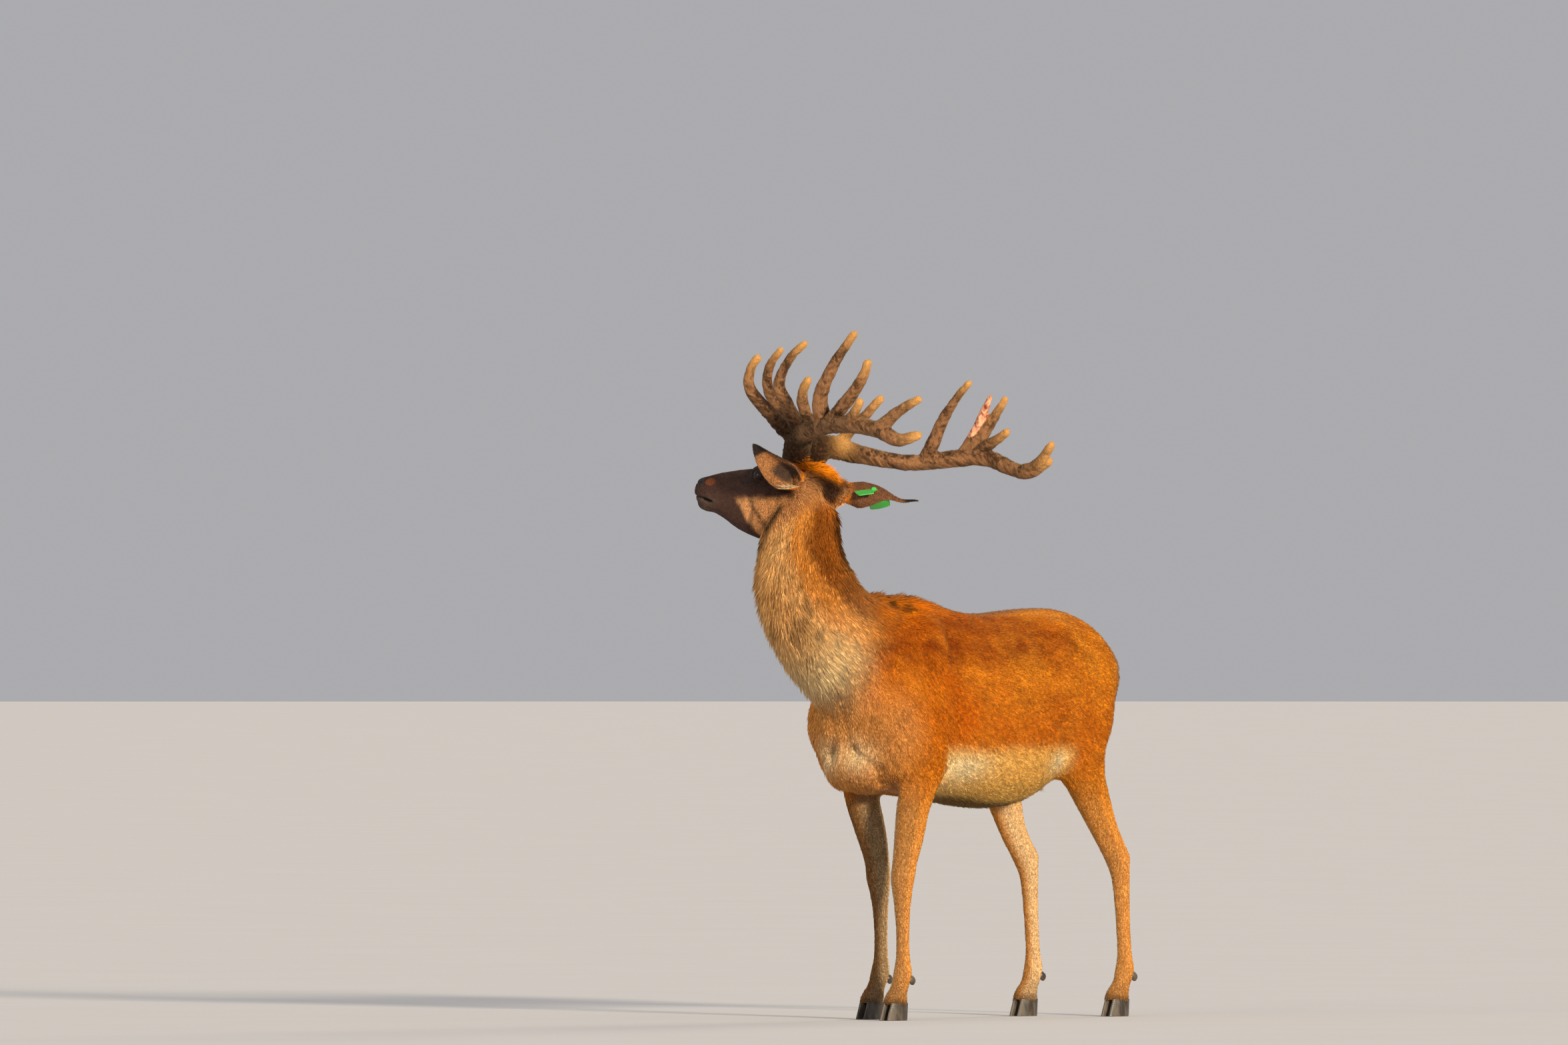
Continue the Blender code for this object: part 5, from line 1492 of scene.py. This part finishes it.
def velvet_finish():
    finish = Finish("velvet", Specular_IOR_Level=0.10, Specular_Tint=(1.0, 0.75, 0.50, 1), Sheen_Weight=0.16,
                    Sheen_Roughness=0.45, Sheen_Tint=(1.0, 0.74, 0.44, 1))
    bare = finish.level("bare")
    along = finish.noise(330.0, 3.0, roughness=0.6, place=finish.attribute("grain").outputs["Vector"])
    pile = finish.noise(1300.0, 2.0)
    shade = finish.ramp(
        along * 0.7 + pile * 0.3,
        (0.30, (0.50, 0.44, 0.40)), (0.46, (0.88, 0.86, 0.84)), (0.66, (1.30, 1.30, 1.26)),
    )
    finish.feed(Base_Color=finish.times(finish.coat(), shade), Roughness=0.92 - bare * 0.35)
    finish.bumped(along * 0.9 + pile * 0.5 * (1 - bare), 0.0016, 0.8)
    return finish.material


velvet = velvet_finish()
antlers = {}
for side, lengths in ANTLER_PARTS.items():
    made = antler(side)
    antlers[side] = placed(made, velvet, [f"antler_{side}_{length}" for length in lengths])
    made.name = f"antler_{side}_velvet"

# ---- hooves and dewclaws -------------------------------------------------------------------------
# Two claws of dark horn on each foot with a cleft between them, and two small pegs behind the fetlock. The
# horn grows downwards in rings and is worn round the sole.

HOOF_LENGTH = 0.083
HOOF_WIDTH = 0.031
HOOF_HEIGHT = 0.052
CLEFT = 0.004


def hoof(name, leg, lean):
    """One claw: flat on the ground, its toe drawn to a point that leans inwards, with growth rings."""
    x, y, _ = leg_rows(leg)[-2][:3]
    rings = []
    for z in (*np.linspace(0, 0.004, 5), *np.linspace(0.007, HOOF_HEIGHT, 22)):
        rise = z / HOOF_HEIGHT
        worn = 1 - 0.045 * (1 - min(1, z / 0.004)) ** 2
        ridge = 1 + 0.012 * math.sin(z * 1150) * (0.4 + 0.6 * rise)
        length = HOOF_LENGTH * (1 - 0.20 * rise) / 2 * worn * ridge
        width = HOOF_WIDTH * (1 - 0.14 * rise) / 2 * worn * ridge
        turn = np.linspace(0, 2 * math.pi, 48, endpoint=False)
        ahead = np.cos(turn)
        taper = 1 - 0.42 * np.clip(ahead, 0, 1) ** 1.6
        px = lean * (CLEFT / 2 + HOOF_WIDTH / 2) + width * np.sin(turn) * taper - lean * 0.004 * ahead
        py = -ahead * length - 0.016 + 0.24 * z
        rings.append(np.stack([x + px, y + py, z + 0 * px], 1))
    return loft(name, rings)


def dewclaw(name, leg, lean):
    """A small horn peg behind the fetlock, drawn to a blunt point below."""
    x, y, z = leg_rows(leg)[-5][:3]
    obj = bulge(name, (0, 0, 0), (0.0085, 0.0125, 0.0150), (35, 0, 0), 24, 16)
    places = places_of(obj.data)
    narrow = 1 - 0.25 * step(0.0, -0.014, places[:, 2])
    ringed = 1 + 0.02 * np.sin(places[:, 2] * 1600)
    places[:, 0] *= narrow * ringed
    settle(obj.data, places + (x + lean * 0.0165, y + 0.023, z - 0.020))
    return obj


def horn_finish():
    finish = Finish("horn", Specular_IOR_Level=0.45)
    fibres = finish.noise(260.0, 3.0, (1.0, 1.0, 0.06))
    wear = finish.between(finish.noise(60.0, 3.0, (1.0, 1.0, 0.3)), 0.42, 0.66)
    horn = finish.blend(fibres, (0.012, 0.010, 0.009, 1), (0.060, 0.048, 0.038, 1))
    worn = finish.blend(wear * 0.45, horn, (0.150, 0.118, 0.088, 1))
    finish.feed(Base_Color=worn, Roughness=0.36 + wear * 0.25)
    finish.bumped(fibres, 0.0006, 0.6)
    return finish.material


horn = horn_finish()
for leg in LEGS:
    for lean in (-1, 1):
        place = "outer" if lean * LEGS[leg][0] > 0 else "inner"
        end = f"{leg[:4]}_{leg[8:]}_{place}"
        placed(hoof("claw_" + end, leg, lean), horn, ["hoof_" + end])
        placed(dewclaw("peg_" + end, leg, lean), horn, ["dewclaw_" + end])

# ---- ear tag -------------------------------------------------------------------------------------
# Two bright green flags of soft plastic on one pin through the right ear, bare of any marks. One stands off
# the back of the ear, nearly edge-on from in front, and the other hangs out of its hollow.

TAG_AT = (0.46, math.radians(-25))  # share of the right ear's length, and turn from the middle of its back
TAG_PIN = 0.0028
TAG_WIDE, TAG_LONG, TAG_THICK = 0.050, 0.066, 0.0022
TAG_CORNER = 0.006  # radius of a flag's outer corners
TAG_ROUNDING = 0.0005
NECK_HALF = 0.0085  # half the width of a flag's neck
NECK_LONG = 0.012
FOLD_LONG = 0.010  # how long a stretch of a flag its fold takes up
BACK_ALONG = (-0.596, -0.791, -0.139)  # the way the outer flag runs from its pin
BACK_NORMAL = (0.106, -0.249, 0.963)  # the way its face looks
BACK_ASIDE = -0.018  # how far it lies to the side of its pin
BACK_OFF, FRONT_OFF = 0.0090, 0.0165  # how far the two flags lie from the middle of the ear's wall
FRONT_WIDE = 0.060
FRONT_ACROSS = (0.77, 0.60, 0.20)  # the way the inner flag's width runs
FRONT_ASIDE = 0.012  # how far it hangs off its pin
FRONT_FOLD = (0.018, math.radians(66))  # how far along it is folded, and by how much
FRONT_NECK = 0.021  # length of its neck


def flag(name, origin, across, along, normal, start, bow, wide=TAG_WIDE, aside=0.0, fold=(1.0, 1e-6),
         neck_long=NECK_LONG):
    """One half of the tag: a panel with a narrow neck, set aside from its middle, and rounded edges. It is
    bowed a little across its width, and folded towards normal from a distance along it, by an angle."""
    half, end = wide / 2, TAG_LONG + neck_long - 0.012
    edge = [(-half, neck_long + 0.010), (-half, end - TAG_CORNER)]
    for turn in np.linspace(math.pi, math.pi / 2, 5):
        x, y = TAG_CORNER * math.cos(turn), TAG_CORNER * math.sin(turn)
        edge.append((-half + TAG_CORNER + x, end - TAG_CORNER + y))
    edge += [(-a, b) for a, b in reversed(edge)]
    left, right = -aside - NECK_HALF, -aside + NECK_HALF
    outline = [(left, 0), (left, neck_long), *edge, (right, neck_long), (right, 0)]
    curve = bpy.data.curves.new(name, "CURVE")
    curve.dimensions = "2D"
    curve.fill_mode = "BOTH"
    curve.extrude = TAG_THICK / 2 - TAG_ROUNDING
    curve.bevel_depth = TAG_ROUNDING
    curve.bevel_resolution = 2
    line = curve.splines.new("POLY")
    line.points.add(len(outline) - 1)
    for point, (a, b) in zip(line.points, outline):
        point.co = (a, b + start, 0, 1)
    line.use_cyclic_u = True
    flat = as_mesh(linked(name, curve))
    shape = opened(flat)
    bmesh.ops.remove_doubles(shape, verts=shape.verts, dist=1e-6)
    cuts = [((at, 0, 0), (1, 0, 0)) for at in np.linspace(-half, half, 11)[1:-1]]
    cuts += [((0, at, 0), (0, 1, 0)) for at in np.arange(0.004, end - 0.012, 0.0025)]
    for place, way in cuts:
        everything = [*shape.verts, *shape.edges, *shape.faces]
        bmesh.ops.bisect_plane(shape, geom=everything, plane_co=place, plane_no=way)
    begin, angle = fold
    bend = FOLD_LONG / angle
    for point in shape.verts:
        x, y, z = point.co
        z += bow * ((x / half) ** 2 - 0.3) * step(0.004, 0.03, y)
        turned = angle * min(max((y - begin) / FOLD_LONG, 0), 1)
        beyond = max(y - begin - FOLD_LONG, 0)
        y = min(y, begin) + bend * math.sin(turned) + beyond * math.cos(turned) - z * math.sin(turned)
        point.co = (x, y, bend * (1 - math.cos(turned)) + beyond * math.sin(turned) + z * math.cos(turned))
    put_back(shape, flat)
    turn = Matrix((across, along, normal)).transposed().to_4x4()
    flat.data.transform(Matrix.Translation(origin) @ turn)
    return flat


def rod(name, start, end, radius, dome=0.0):
    """A straight round pin with softened ends."""
    start, end = Vector(start), Vector(end)
    length = (end - start).length
    edge = min(radius * 0.25, length * 0.25)
    profile = [(radius - edge, 0), (radius, edge), (radius, length - edge), (radius - edge, length + dome)]
    turn = (end - start).to_track_quat("Z", "Y").to_matrix().to_4x4()
    around = np.linspace(0, 2 * math.pi, 32, endpoint=False)
    rings = [np.stack([r * np.cos(around), r * np.sin(around), z + 0 * around], 1) for r, z in profile]
    made = loft(name, rings)
    made.data.transform(Matrix.Translation(start) @ turn)
    return made


def tag_finish():
    finish = Finish("tag_plastic", Specular_IOR_Level=0.5)
    smudge = finish.between(finish.noise(70.0, 4.0), 0.45, 0.75)
    scuff = finish.between(finish.noise(600.0, 3.0, (1.0, 0.2, 1.0)), 0.55, 0.75)
    green = finish.blend(smudge * 0.35, (0.054, 0.470, 0.076, 1), (0.042, 0.300, 0.056, 1))
    finish.feed(Base_Color=green, Roughness=0.34 + scuff * 0.22)
    finish.bumped(scuff, 0.0003, 0.4)
    return finish.material


tag_local, tag_outward = ear_wall("ear_right", *TAG_AT)
pin_at, tag_normal = HEAD @ Vector(tag_local), turned_with_head(tag_outward).normalized()
back_at = pin_at + tag_normal * BACK_OFF
low = pin_at - tag_normal * FRONT_OFF
along = Vector(BACK_ALONG).normalized()
face = (Vector(BACK_NORMAL) - along * along.dot(Vector(BACK_NORMAL))).normalized()
across = along.cross(face)
level = Vector(FRONT_ACROSS).normalized()
hanging = (Vector((0, 0, -1)) - level * -level.z).normalized()
plastic = tag_finish()
back = joined("tag_back_flag", [
    flag("back", back_at + across * BACK_ASIDE, across, along, face, -0.0085, 0.0012, TAG_WIDE, BACK_ASIDE),
    rod("button", back_at - tag_normal * 0.0005, back_at + tag_normal * 0.0042, 0.0075),
])
front = joined("tag_front_flag", [
    flag("front", low + level * FRONT_ASIDE, level, hanging, level.cross(hanging), -0.0070, 0.0035,
         FRONT_WIDE, FRONT_ASIDE, FRONT_FOLD, FRONT_NECK),
    rod("pin", low - tag_normal * 0.0010, back_at + tag_normal * 0.0016, TAG_PIN),
])
placed(back, plastic, ["tag_back"])
placed(front, plastic, ["tag_front"])

# ---- coat ----------------------------------------------------------------------------------------
# Summer hair in small locks that overlap like thatch: short and flat on the face and feet, longer on the
# trunk, and long and coarse down the neck and throat. Each lock lies the way the coat does there.

# Each strand of a lock: place across it at the root, half width, length, place of the tip, tone
LOCK_STRANDS = [
    (-0.33, 0.15, 0.84, -0.50, 0.10),
    (0.02, 0.17, 1.00, 0.08, 1.00),
    (0.34, 0.15, 0.72, 0.52, 0.50),
]
PILE_STRANDS = [(0.0, 0.5, 1.0, 0.1, 0.5)]
MOST_LOCKS = 400000.0  # on a square metre, before those nearer than the spacing are left out


def strands(name, rows):
    """Closed three-sided spikes, one unit long along +Y and one wide between them."""
    shape = bmesh.new()
    tones = []
    for across, half, length, tip, tone in rows:
        root = [shape.verts.new((across + x, 0, z)) for x, z in ((-half, -0.02), (half, -0.02), (0, 0.055))]
        point = shape.verts.new((tip, length, 0.05))
        for k in range(3):
            shape.faces.new((root[k], root[(k + 1) % 3], point))
        shape.faces.new(reversed(root))
        tones += [tone] * 4
    bmesh.ops.recalc_face_normals(shape, faces=shape.faces)
    obj = as_object(name, shape)
    x, y, _ = places_of(obj.data).T
    noted(obj.data, along=y, aside=np.clip(x + 0.5, 0, 1), strand=tones)
    return obj


class Growth(Nodes):
    """A Geometry Nodes tree in the making."""

    def __init__(self, name, **inputs):
        self.tree = bpy.data.node_groups.new(name, "GeometryNodeTree")
        self.tree.interface.new_socket("Geometry", in_out="OUTPUT", socket_type="NodeSocketGeometry")
        for socket, kind in inputs.items():
            self.tree.interface.new_socket(socket, in_out="INPUT", socket_type="NodeSocket" + kind)
        self.given = self.node("NodeGroupInput").outputs

    def attribute(self, name, kind="FLOAT"):
        node = self.node("GeometryNodeInputNamedAttribute", {"data_type": kind}, {"Name": name})
        return node.outputs["Attribute"]

    def noise(self, place, scale):
        sockets = {"Vector": place, "Scale": scale, "Detail": 1.0}
        return Level(self, self.node("ShaderNodeTexNoise", None, sockets).outputs["Fac"])

    def chance(self, low, high, seed):
        """A random number for each lock."""
        sockets = {2: low, 3: high, "Seed": seed}
        return Level(self, self.node("FunctionNodeRandomValue", {"data_type": "FLOAT"}, sockets).outputs[1])

    def joint(self, x, y, z):
        return self.node("ShaderNodeCombineXYZ", None, {0: x, 1: y, 2: z}).outputs[0]

    def kept(self, geometry, name, value, kind="FLOAT"):
        settings = {"data_type": kind, "domain": "POINT"}
        sockets = {"Geometry": geometry, "Name": name, "Value": value}
        return self.node("GeometryNodeStoreNamedAttribute", settings, sockets).outputs["Geometry"]


def coat_growth():
    """The tree that grows one patch of the coat from the skin."""
    grow = Growth("coat_growth", Skin="Geometry", Lock="Object", Hair="Material", Patch="Int",
                  Spacing="Float", Width="Float", Sway="Float", Seed="Int")
    given = grow.given
    here = grow.node("FunctionNodeCompare", {"data_type": "INT", "operation": "EQUAL"},
                     {2: grow.attribute("patch", "INT"), 3: given["Patch"]}).outputs["Result"]
    scatter = grow.node("GeometryNodeDistributePointsOnFaces", {"distribute_method": "POISSON"}, {
        "Mesh": given["Skin"], "Selection": here, "Distance Min": given["Spacing"],
        "Density Max": MOST_LOCKS, "Density Factor": grow.attribute("thick"), "Seed": given["Seed"],
    }).outputs
    turn = grow.node("FunctionNodeAxesToRotation", {"primary_axis": "Z", "secondary_axis": "Y"}, {
        "Primary Axis": scatter["Normal"], "Secondary Axis": grow.attribute("lie", "FLOAT_VECTOR"),
    }).outputs["Rotation"]
    place = grow.node("GeometryNodeInputPosition").outputs[0]
    waves, ripples = grow.noise(place, 26.0), grow.noise(place, 75.0)
    yaw = ((waves - 0.5) * 1.5 + (ripples - 0.5) * 1.2 + grow.chance(-0.22, 0.22, 3)) * given["Sway"]
    lift = grow.chance(0.35, 1.65, 4) * grow.attribute("lift")
    spin = grow.joint(lift, grow.chance(-0.25, 0.25, 5), yaw)
    spin = grow.node("FunctionNodeEulerToRotation", None, {0: spin}).outputs[0]
    turn = grow.node("FunctionNodeRotateRotation", {"rotation_space": "LOCAL"},
                     {"Rotation": turn, "Rotate By": spin}).outputs[0]
    points = grow.kept(scatter["Points"], "root", place, "FLOAT_VECTOR")
    points = grow.kept(points, "whim", grow.chance(0.0, 0.55, 6) + ripples * 0.45)
    length = grow.chance(0.65, 1.25, 7) * grow.attribute("hair")
    shape = grow.node("GeometryNodeObjectInfo", None, {"Object": given["Lock"]}).outputs["Geometry"]
    locks = grow.node("GeometryNodeInstanceOnPoints", None, {
        "Points": points, "Instance": shape, "Rotation": turn,
        "Scale": grow.joint(given["Width"], length, length),
    }).outputs["Instances"]
    locks = grow.node("GeometryNodeRealizeInstances", None, {"Geometry": locks}).outputs["Geometry"]
    locks = grow.node("GeometryNodeSetMaterial", None, {"Geometry": locks, "Material": given["Hair"]})
    grow.node("NodeGroupOutput", None, {0: locks.outputs[0]})
    return grow.tree


def hair_finish(name, root_shade):
    """The look of the locks, darker towards the root by this much."""
    finish = Finish(name, Roughness=0.58, Specular_IOR_Level=0.13, Specular_Tint=(1.0, 0.62, 0.26, 1),
                    Sheen_Weight=0.06, Sheen_Roughness=0.4, Sheen_Tint=(1.0, 0.66, 0.28, 1))
    tone = finish.ramp(
        finish.level("whim") * 0.60 + finish.level("strand") * 0.40,
        (0.05, (0.30, 0.23, 0.19)), (0.25, (0.62, 0.55, 0.50)), (0.45, (0.95, 0.94, 0.92)),
        (0.68, (1.18, 1.18, 1.14)), (0.92, (1.55, 1.62, 1.62)),
    )
    deep = 1 - root_shade
    shade = finish.ramp(
        finish.level("along"),
        (0.0, (deep, deep * 0.93, deep * 0.88)), (0.30, (1 - root_shade * 0.25,) * 3),
        (0.8, (1.10, 1.10, 1.10)), (1.0, (1.22, 1.22, 1.20)),
    )
    finish.feed(Base_Color=finish.times(finish.times(finish.coat(), tone), shade))
    return finish.material


def grown(tree, carrier_mesh, name, values):
    """What the tree grows from a mesh, as a plain mesh object."""
    carrier = linked(name, carrier_mesh)
    modifier = carrier.modifiers.new("growth", "NODES")
    modifier.node_group = tree
    for socket in tree.interface.items_tree:
        if socket.in_out == "INPUT" and socket.name in values:
            modifier[socket.identifier] = values[socket.name]
    bpy.context.view_layer.update()
    seen = carrier.evaluated_get(bpy.context.evaluated_depsgraph_get())
    mesh = bpy.data.meshes.new_from_object(seen)
    bpy.data.objects.remove(carrier)
    looks = [look for look in mesh.materials if look]
    mesh.materials.clear()
    mesh.materials.append(looks[-1])
    return linked(name, mesh)


def spread_out(roots, axis, side):
    """An unwrap of the body round an axis: how far along it, and the turn about it from side."""
    heading, run = heading_of(axis), run_of(axis)
    nearest = nearest_on(axis, roots)
    away = roots - axis[nearest]
    first = square_to(heading, side)[nearest]
    second = np.cross(heading[nearest], first)
    radius = np.linalg.norm(away, axis=1)
    turn = np.arctan2((away * second).sum(1), (away * first).sum(1))
    towards_middle = np.where(run[nearest] < run[-1] / 2, 0.6, -0.6)
    return run[nearest] + (away * heading[nearest]).sum(1) + towards_middle * radius, turn


HEAD_LINE = from_head(np.linspace((0, 0.06, 0), (0, -0.40, 0), 30))
TRUNK_LINE = np.linspace((0, -0.22, 0.93), (0, 0.96, 0.93), 40)
LOCK_PATCH = 0.003  # side of each lock's own patch on the map
LEG_APART, EAR_APART, INSIDE_APART, TAIL_PLACE = 3.4, 13.0, 6.5, 34.0  # keep limbs apart on the map
LOCK_NOTES = ("coat", "whim", "along", "strand", "position", "OFBake")  # what the points go on knowing


def unwrap_locks(obj, patch):
    """Lays each lock on a patch of its own in the map, at its root's place on the unwrapped skin."""
    mesh = obj.data
    roots = read(mesh, "root", 3) - np.array(SHIFT)
    u, v = np.zeros((2, len(roots)))
    if "chart" in mesh.attributes:
        u, v, _ = read(mesh, "chart", 3).T
    elif patch < NECK_LOW:
        u, v = spread_out(roots, TRUNK_LINE, (0, 0, 1))
        v = np.abs(v)
    elif patch < HEAD_PATCH:
        u, v = spread_out(roots, neck_line(40)[0][:, :3], (0, 1, 0))
    elif patch == HEAD_PATCH:
        u, v = spread_out(roots, HEAD_LINE, turned_with_head((0, 0, -1)))
    elif patch < EARS_TAIL:
        for sign, side in ((1, "left"), (-1, "right")):
            mine = roots[:, 0] * sign > 0
            rows = leg_rows(("foreleg_" if patch == FORELEGS else "hindleg_") + side)
            along, turn = spread_out(roots[mine], spline(rows[:, :3], 40), (0, 1, 0))
            u[mine], v[mine] = along, turn + sign * LEG_APART
    else:
        part = read(mesh, "part")
        for name, code in EAR_PARTS.items():
            mine = part == code
            root, way, facing, _ = ear_frame(name)
            line = from_head(np.linspace(root, root + way * EARS[name][3], 30) + facing * 0.02)
            along, turn = spread_out(roots[mine], line, turned_with_head(facing))
            inside = read(mesh, "ear_inside")[mine]
            u[mine], v[mine] = along, turn + code * EAR_APART + INSIDE_APART * (inside > 0.5)
        mine = part == TAIL_PART
        along, turn = spread_out(roots[mine], spline(TAIL, 20)[:, :3], (0, 1, 0))
        u[mine], v[mine] = along, turn + TAIL_PLACE
    placed_on_map = []
    for values, within in ((u, "along"), (v, "aside")):
        share = (values - values.min()) / np.ptp(values) * (1 - LOCK_PATCH)
        placed_on_map.append(share + read(mesh, within) * LOCK_PATCH)
    corners = taken(mesh.loops, "vertex_index", 1, np.int32)
    layer = mesh.uv_layers.new(name="OFBake")
    layer.uv.foreach_set("vector", np.stack(placed_on_map, 1)[corners].astype(np.float32).ravel())
    for name in [a.name for a in mesh.attributes if not a.name.startswith(".")]:
        if name not in LOCK_NOTES:
            mesh.attributes.remove(mesh.attributes[name])


# piece: what it grows from, which patch of it, spacing and width of its locks, how far they sway, slot
COAT = {
    **{f"coat_trunk_{where}": (skin, patch, 0.0047, 0.0046, 0.75, "body_coat")
       for patch, where in enumerate(("left_front", "left_rear", "right_front", "right_rear"))},
    "coat_neck_low": (skin, NECK_LOW, 0.0033, 0.0044, 0.85, "neck_coat"),
    "coat_neck_high": (skin, NECK_HIGH, 0.0033, 0.0044, 0.85, "neck_coat"),
    "coat_head": (skin, HEAD_PATCH, 0.0031, 0.0026, 0.5, "face_coat"),
    "coat_forelegs": (skin, FORELEGS, 0.0042, 0.0036, 0.4, "leg_coat"),
    "coat_hindlegs": (skin, HINDLEGS, 0.0042, 0.0036, 0.4, "leg_coat"),
    "coat_ears_tail": (skin, EARS_TAIL, 0.0042, 0.0032, 0.4, "ear_coat"),
    "pile_left": (antlers["left"], 0, 0.0031, 0.0009, 1.0, "antler_velvet"),
    "pile_right": (antlers["right"], 0, 0.0031, 0.0009, 1.0, "antler_velvet"),
}

lock, pile = strands("lock", LOCK_STRANDS), strands("pile", PILE_STRANDS)
looks = {lock: hair_finish("hair", 0.36), pile: hair_finish("velvet_pile", 0.06)}
tree = coat_growth()
for seed, (name, (carrier, patch, spacing, width, sway, slot)) in enumerate(COAT.items()):
    shape = lock if carrier is skin else pile
    piece = grown(tree, carrier.data, name, {
        "Lock": shape, "Hair": looks[shape], "Patch": patch, "Spacing": spacing, "Width": width,
        "Sway": sway, "Seed": seed + 5,
    })
    unwrap_locks(piece, patch)
    piece.data.shade_smooth()
    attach(piece, "root")
bpy.data.objects.remove(lock)
bpy.data.objects.remove(pile)

# ---- stage ---------------------------------------------------------------------------------------
# A pale level floor that runs into a pale surround, soft lamps, and a distant camera nearly level with the
# stag's head.

CAMERA_TURN = math.radians(38)  # how far the camera stands round to the stag's left of its front
AIM_ASIDE, AIM_HIGH = -0.31, 1.455
CAMERA_FAR, CAMERA_LENS = 90.0, 706.5
FLOOR_REACH, FLOOR_SIDES = 160.0, 96
SURROUND, SURROUND_STRENGTH = (0.66, 0.66, 0.69, 1), 0.62

right_way = Vector((math.cos(CAMERA_TURN), math.sin(CAMERA_TURN), 0))
towards = Vector((math.sin(CAMERA_TURN), -math.cos(CAMERA_TURN), 0))
aim = right_way * AIM_ASIDE + SHIFT
aim.z = AIM_HIGH
camera_data = bpy.data.cameras.new("camera")
camera_data.lens = CAMERA_LENS
camera_data.sensor_width = 36
camera_data.clip_end = 500
camera = bpy.data.objects.new("camera", camera_data)
camera.location = aim + towards * CAMERA_FAR
camera.rotation_euler = (math.radians(90), 0, CAMERA_TURN)
bpy.context.scene.collection.objects.link(camera)
bpy.context.scene.camera = camera
bpy.context.scene.view_settings.view_transform = "Standard"

around = np.linspace(0, 2 * math.pi, FLOOR_SIDES, endpoint=False)
edge = [(FLOOR_REACH * math.cos(a), FLOOR_REACH * math.sin(a), 0) for a in around]
floor_mesh = bpy.data.meshes.new("floor")
floor_mesh.from_pydata(edge, [], [tuple(range(FLOOR_SIDES))])
floor = linked("floor", floor_mesh)
floor_finish = Finish("floor", Roughness=0.9, Specular_IOR_Level=0.2)
floor_tone = floor_finish.noise(1.6, 2.0)
floor_finish.feed(Base_Color=floor_finish.blend(floor_tone, (0.60, 0.60, 0.62, 1), (0.64, 0.64, 0.66, 1)))
floor_mesh.materials.append(floor_finish.material)

world = bpy.data.worlds.new("surround")
world.use_nodes = True
backdrop = world.node_tree.nodes["Background"].inputs
backdrop["Color"].default_value, backdrop["Strength"].default_value = SURROUND, SURROUND_STRENGTH
bpy.context.scene.world = world

# name: how far it stands to the camera's right, towards it and up; strength, softness in degrees, colour
LAMPS = {
    "key": ((0.42, 0.875, 0.24), 4.8, 7, (1.0, 0.84, 0.60)),
    "fill": ((-0.62, 0.74, 0.25), 1.0, 40, (1.0, 0.88, 0.72)),
    "rim": ((0.45, -0.80, 0.40), 1.0, 20, (1.0, 0.88, 0.70)),
}
for name, (place, strength, soft, tint) in LAMPS.items():
    lamp = bpy.data.lights.new(name, "SUN")
    lamp.energy, lamp.angle, lamp.color = strength, math.radians(soft), tint
    stand = bpy.data.objects.new(name, lamp)
    away = right_way * place[0] + towards * place[1] + Vector((0, 0, place[2]))
    stand.rotation_euler = away.to_track_quat("Z", "Y").to_euler()
    bpy.context.scene.collection.objects.link(stand)
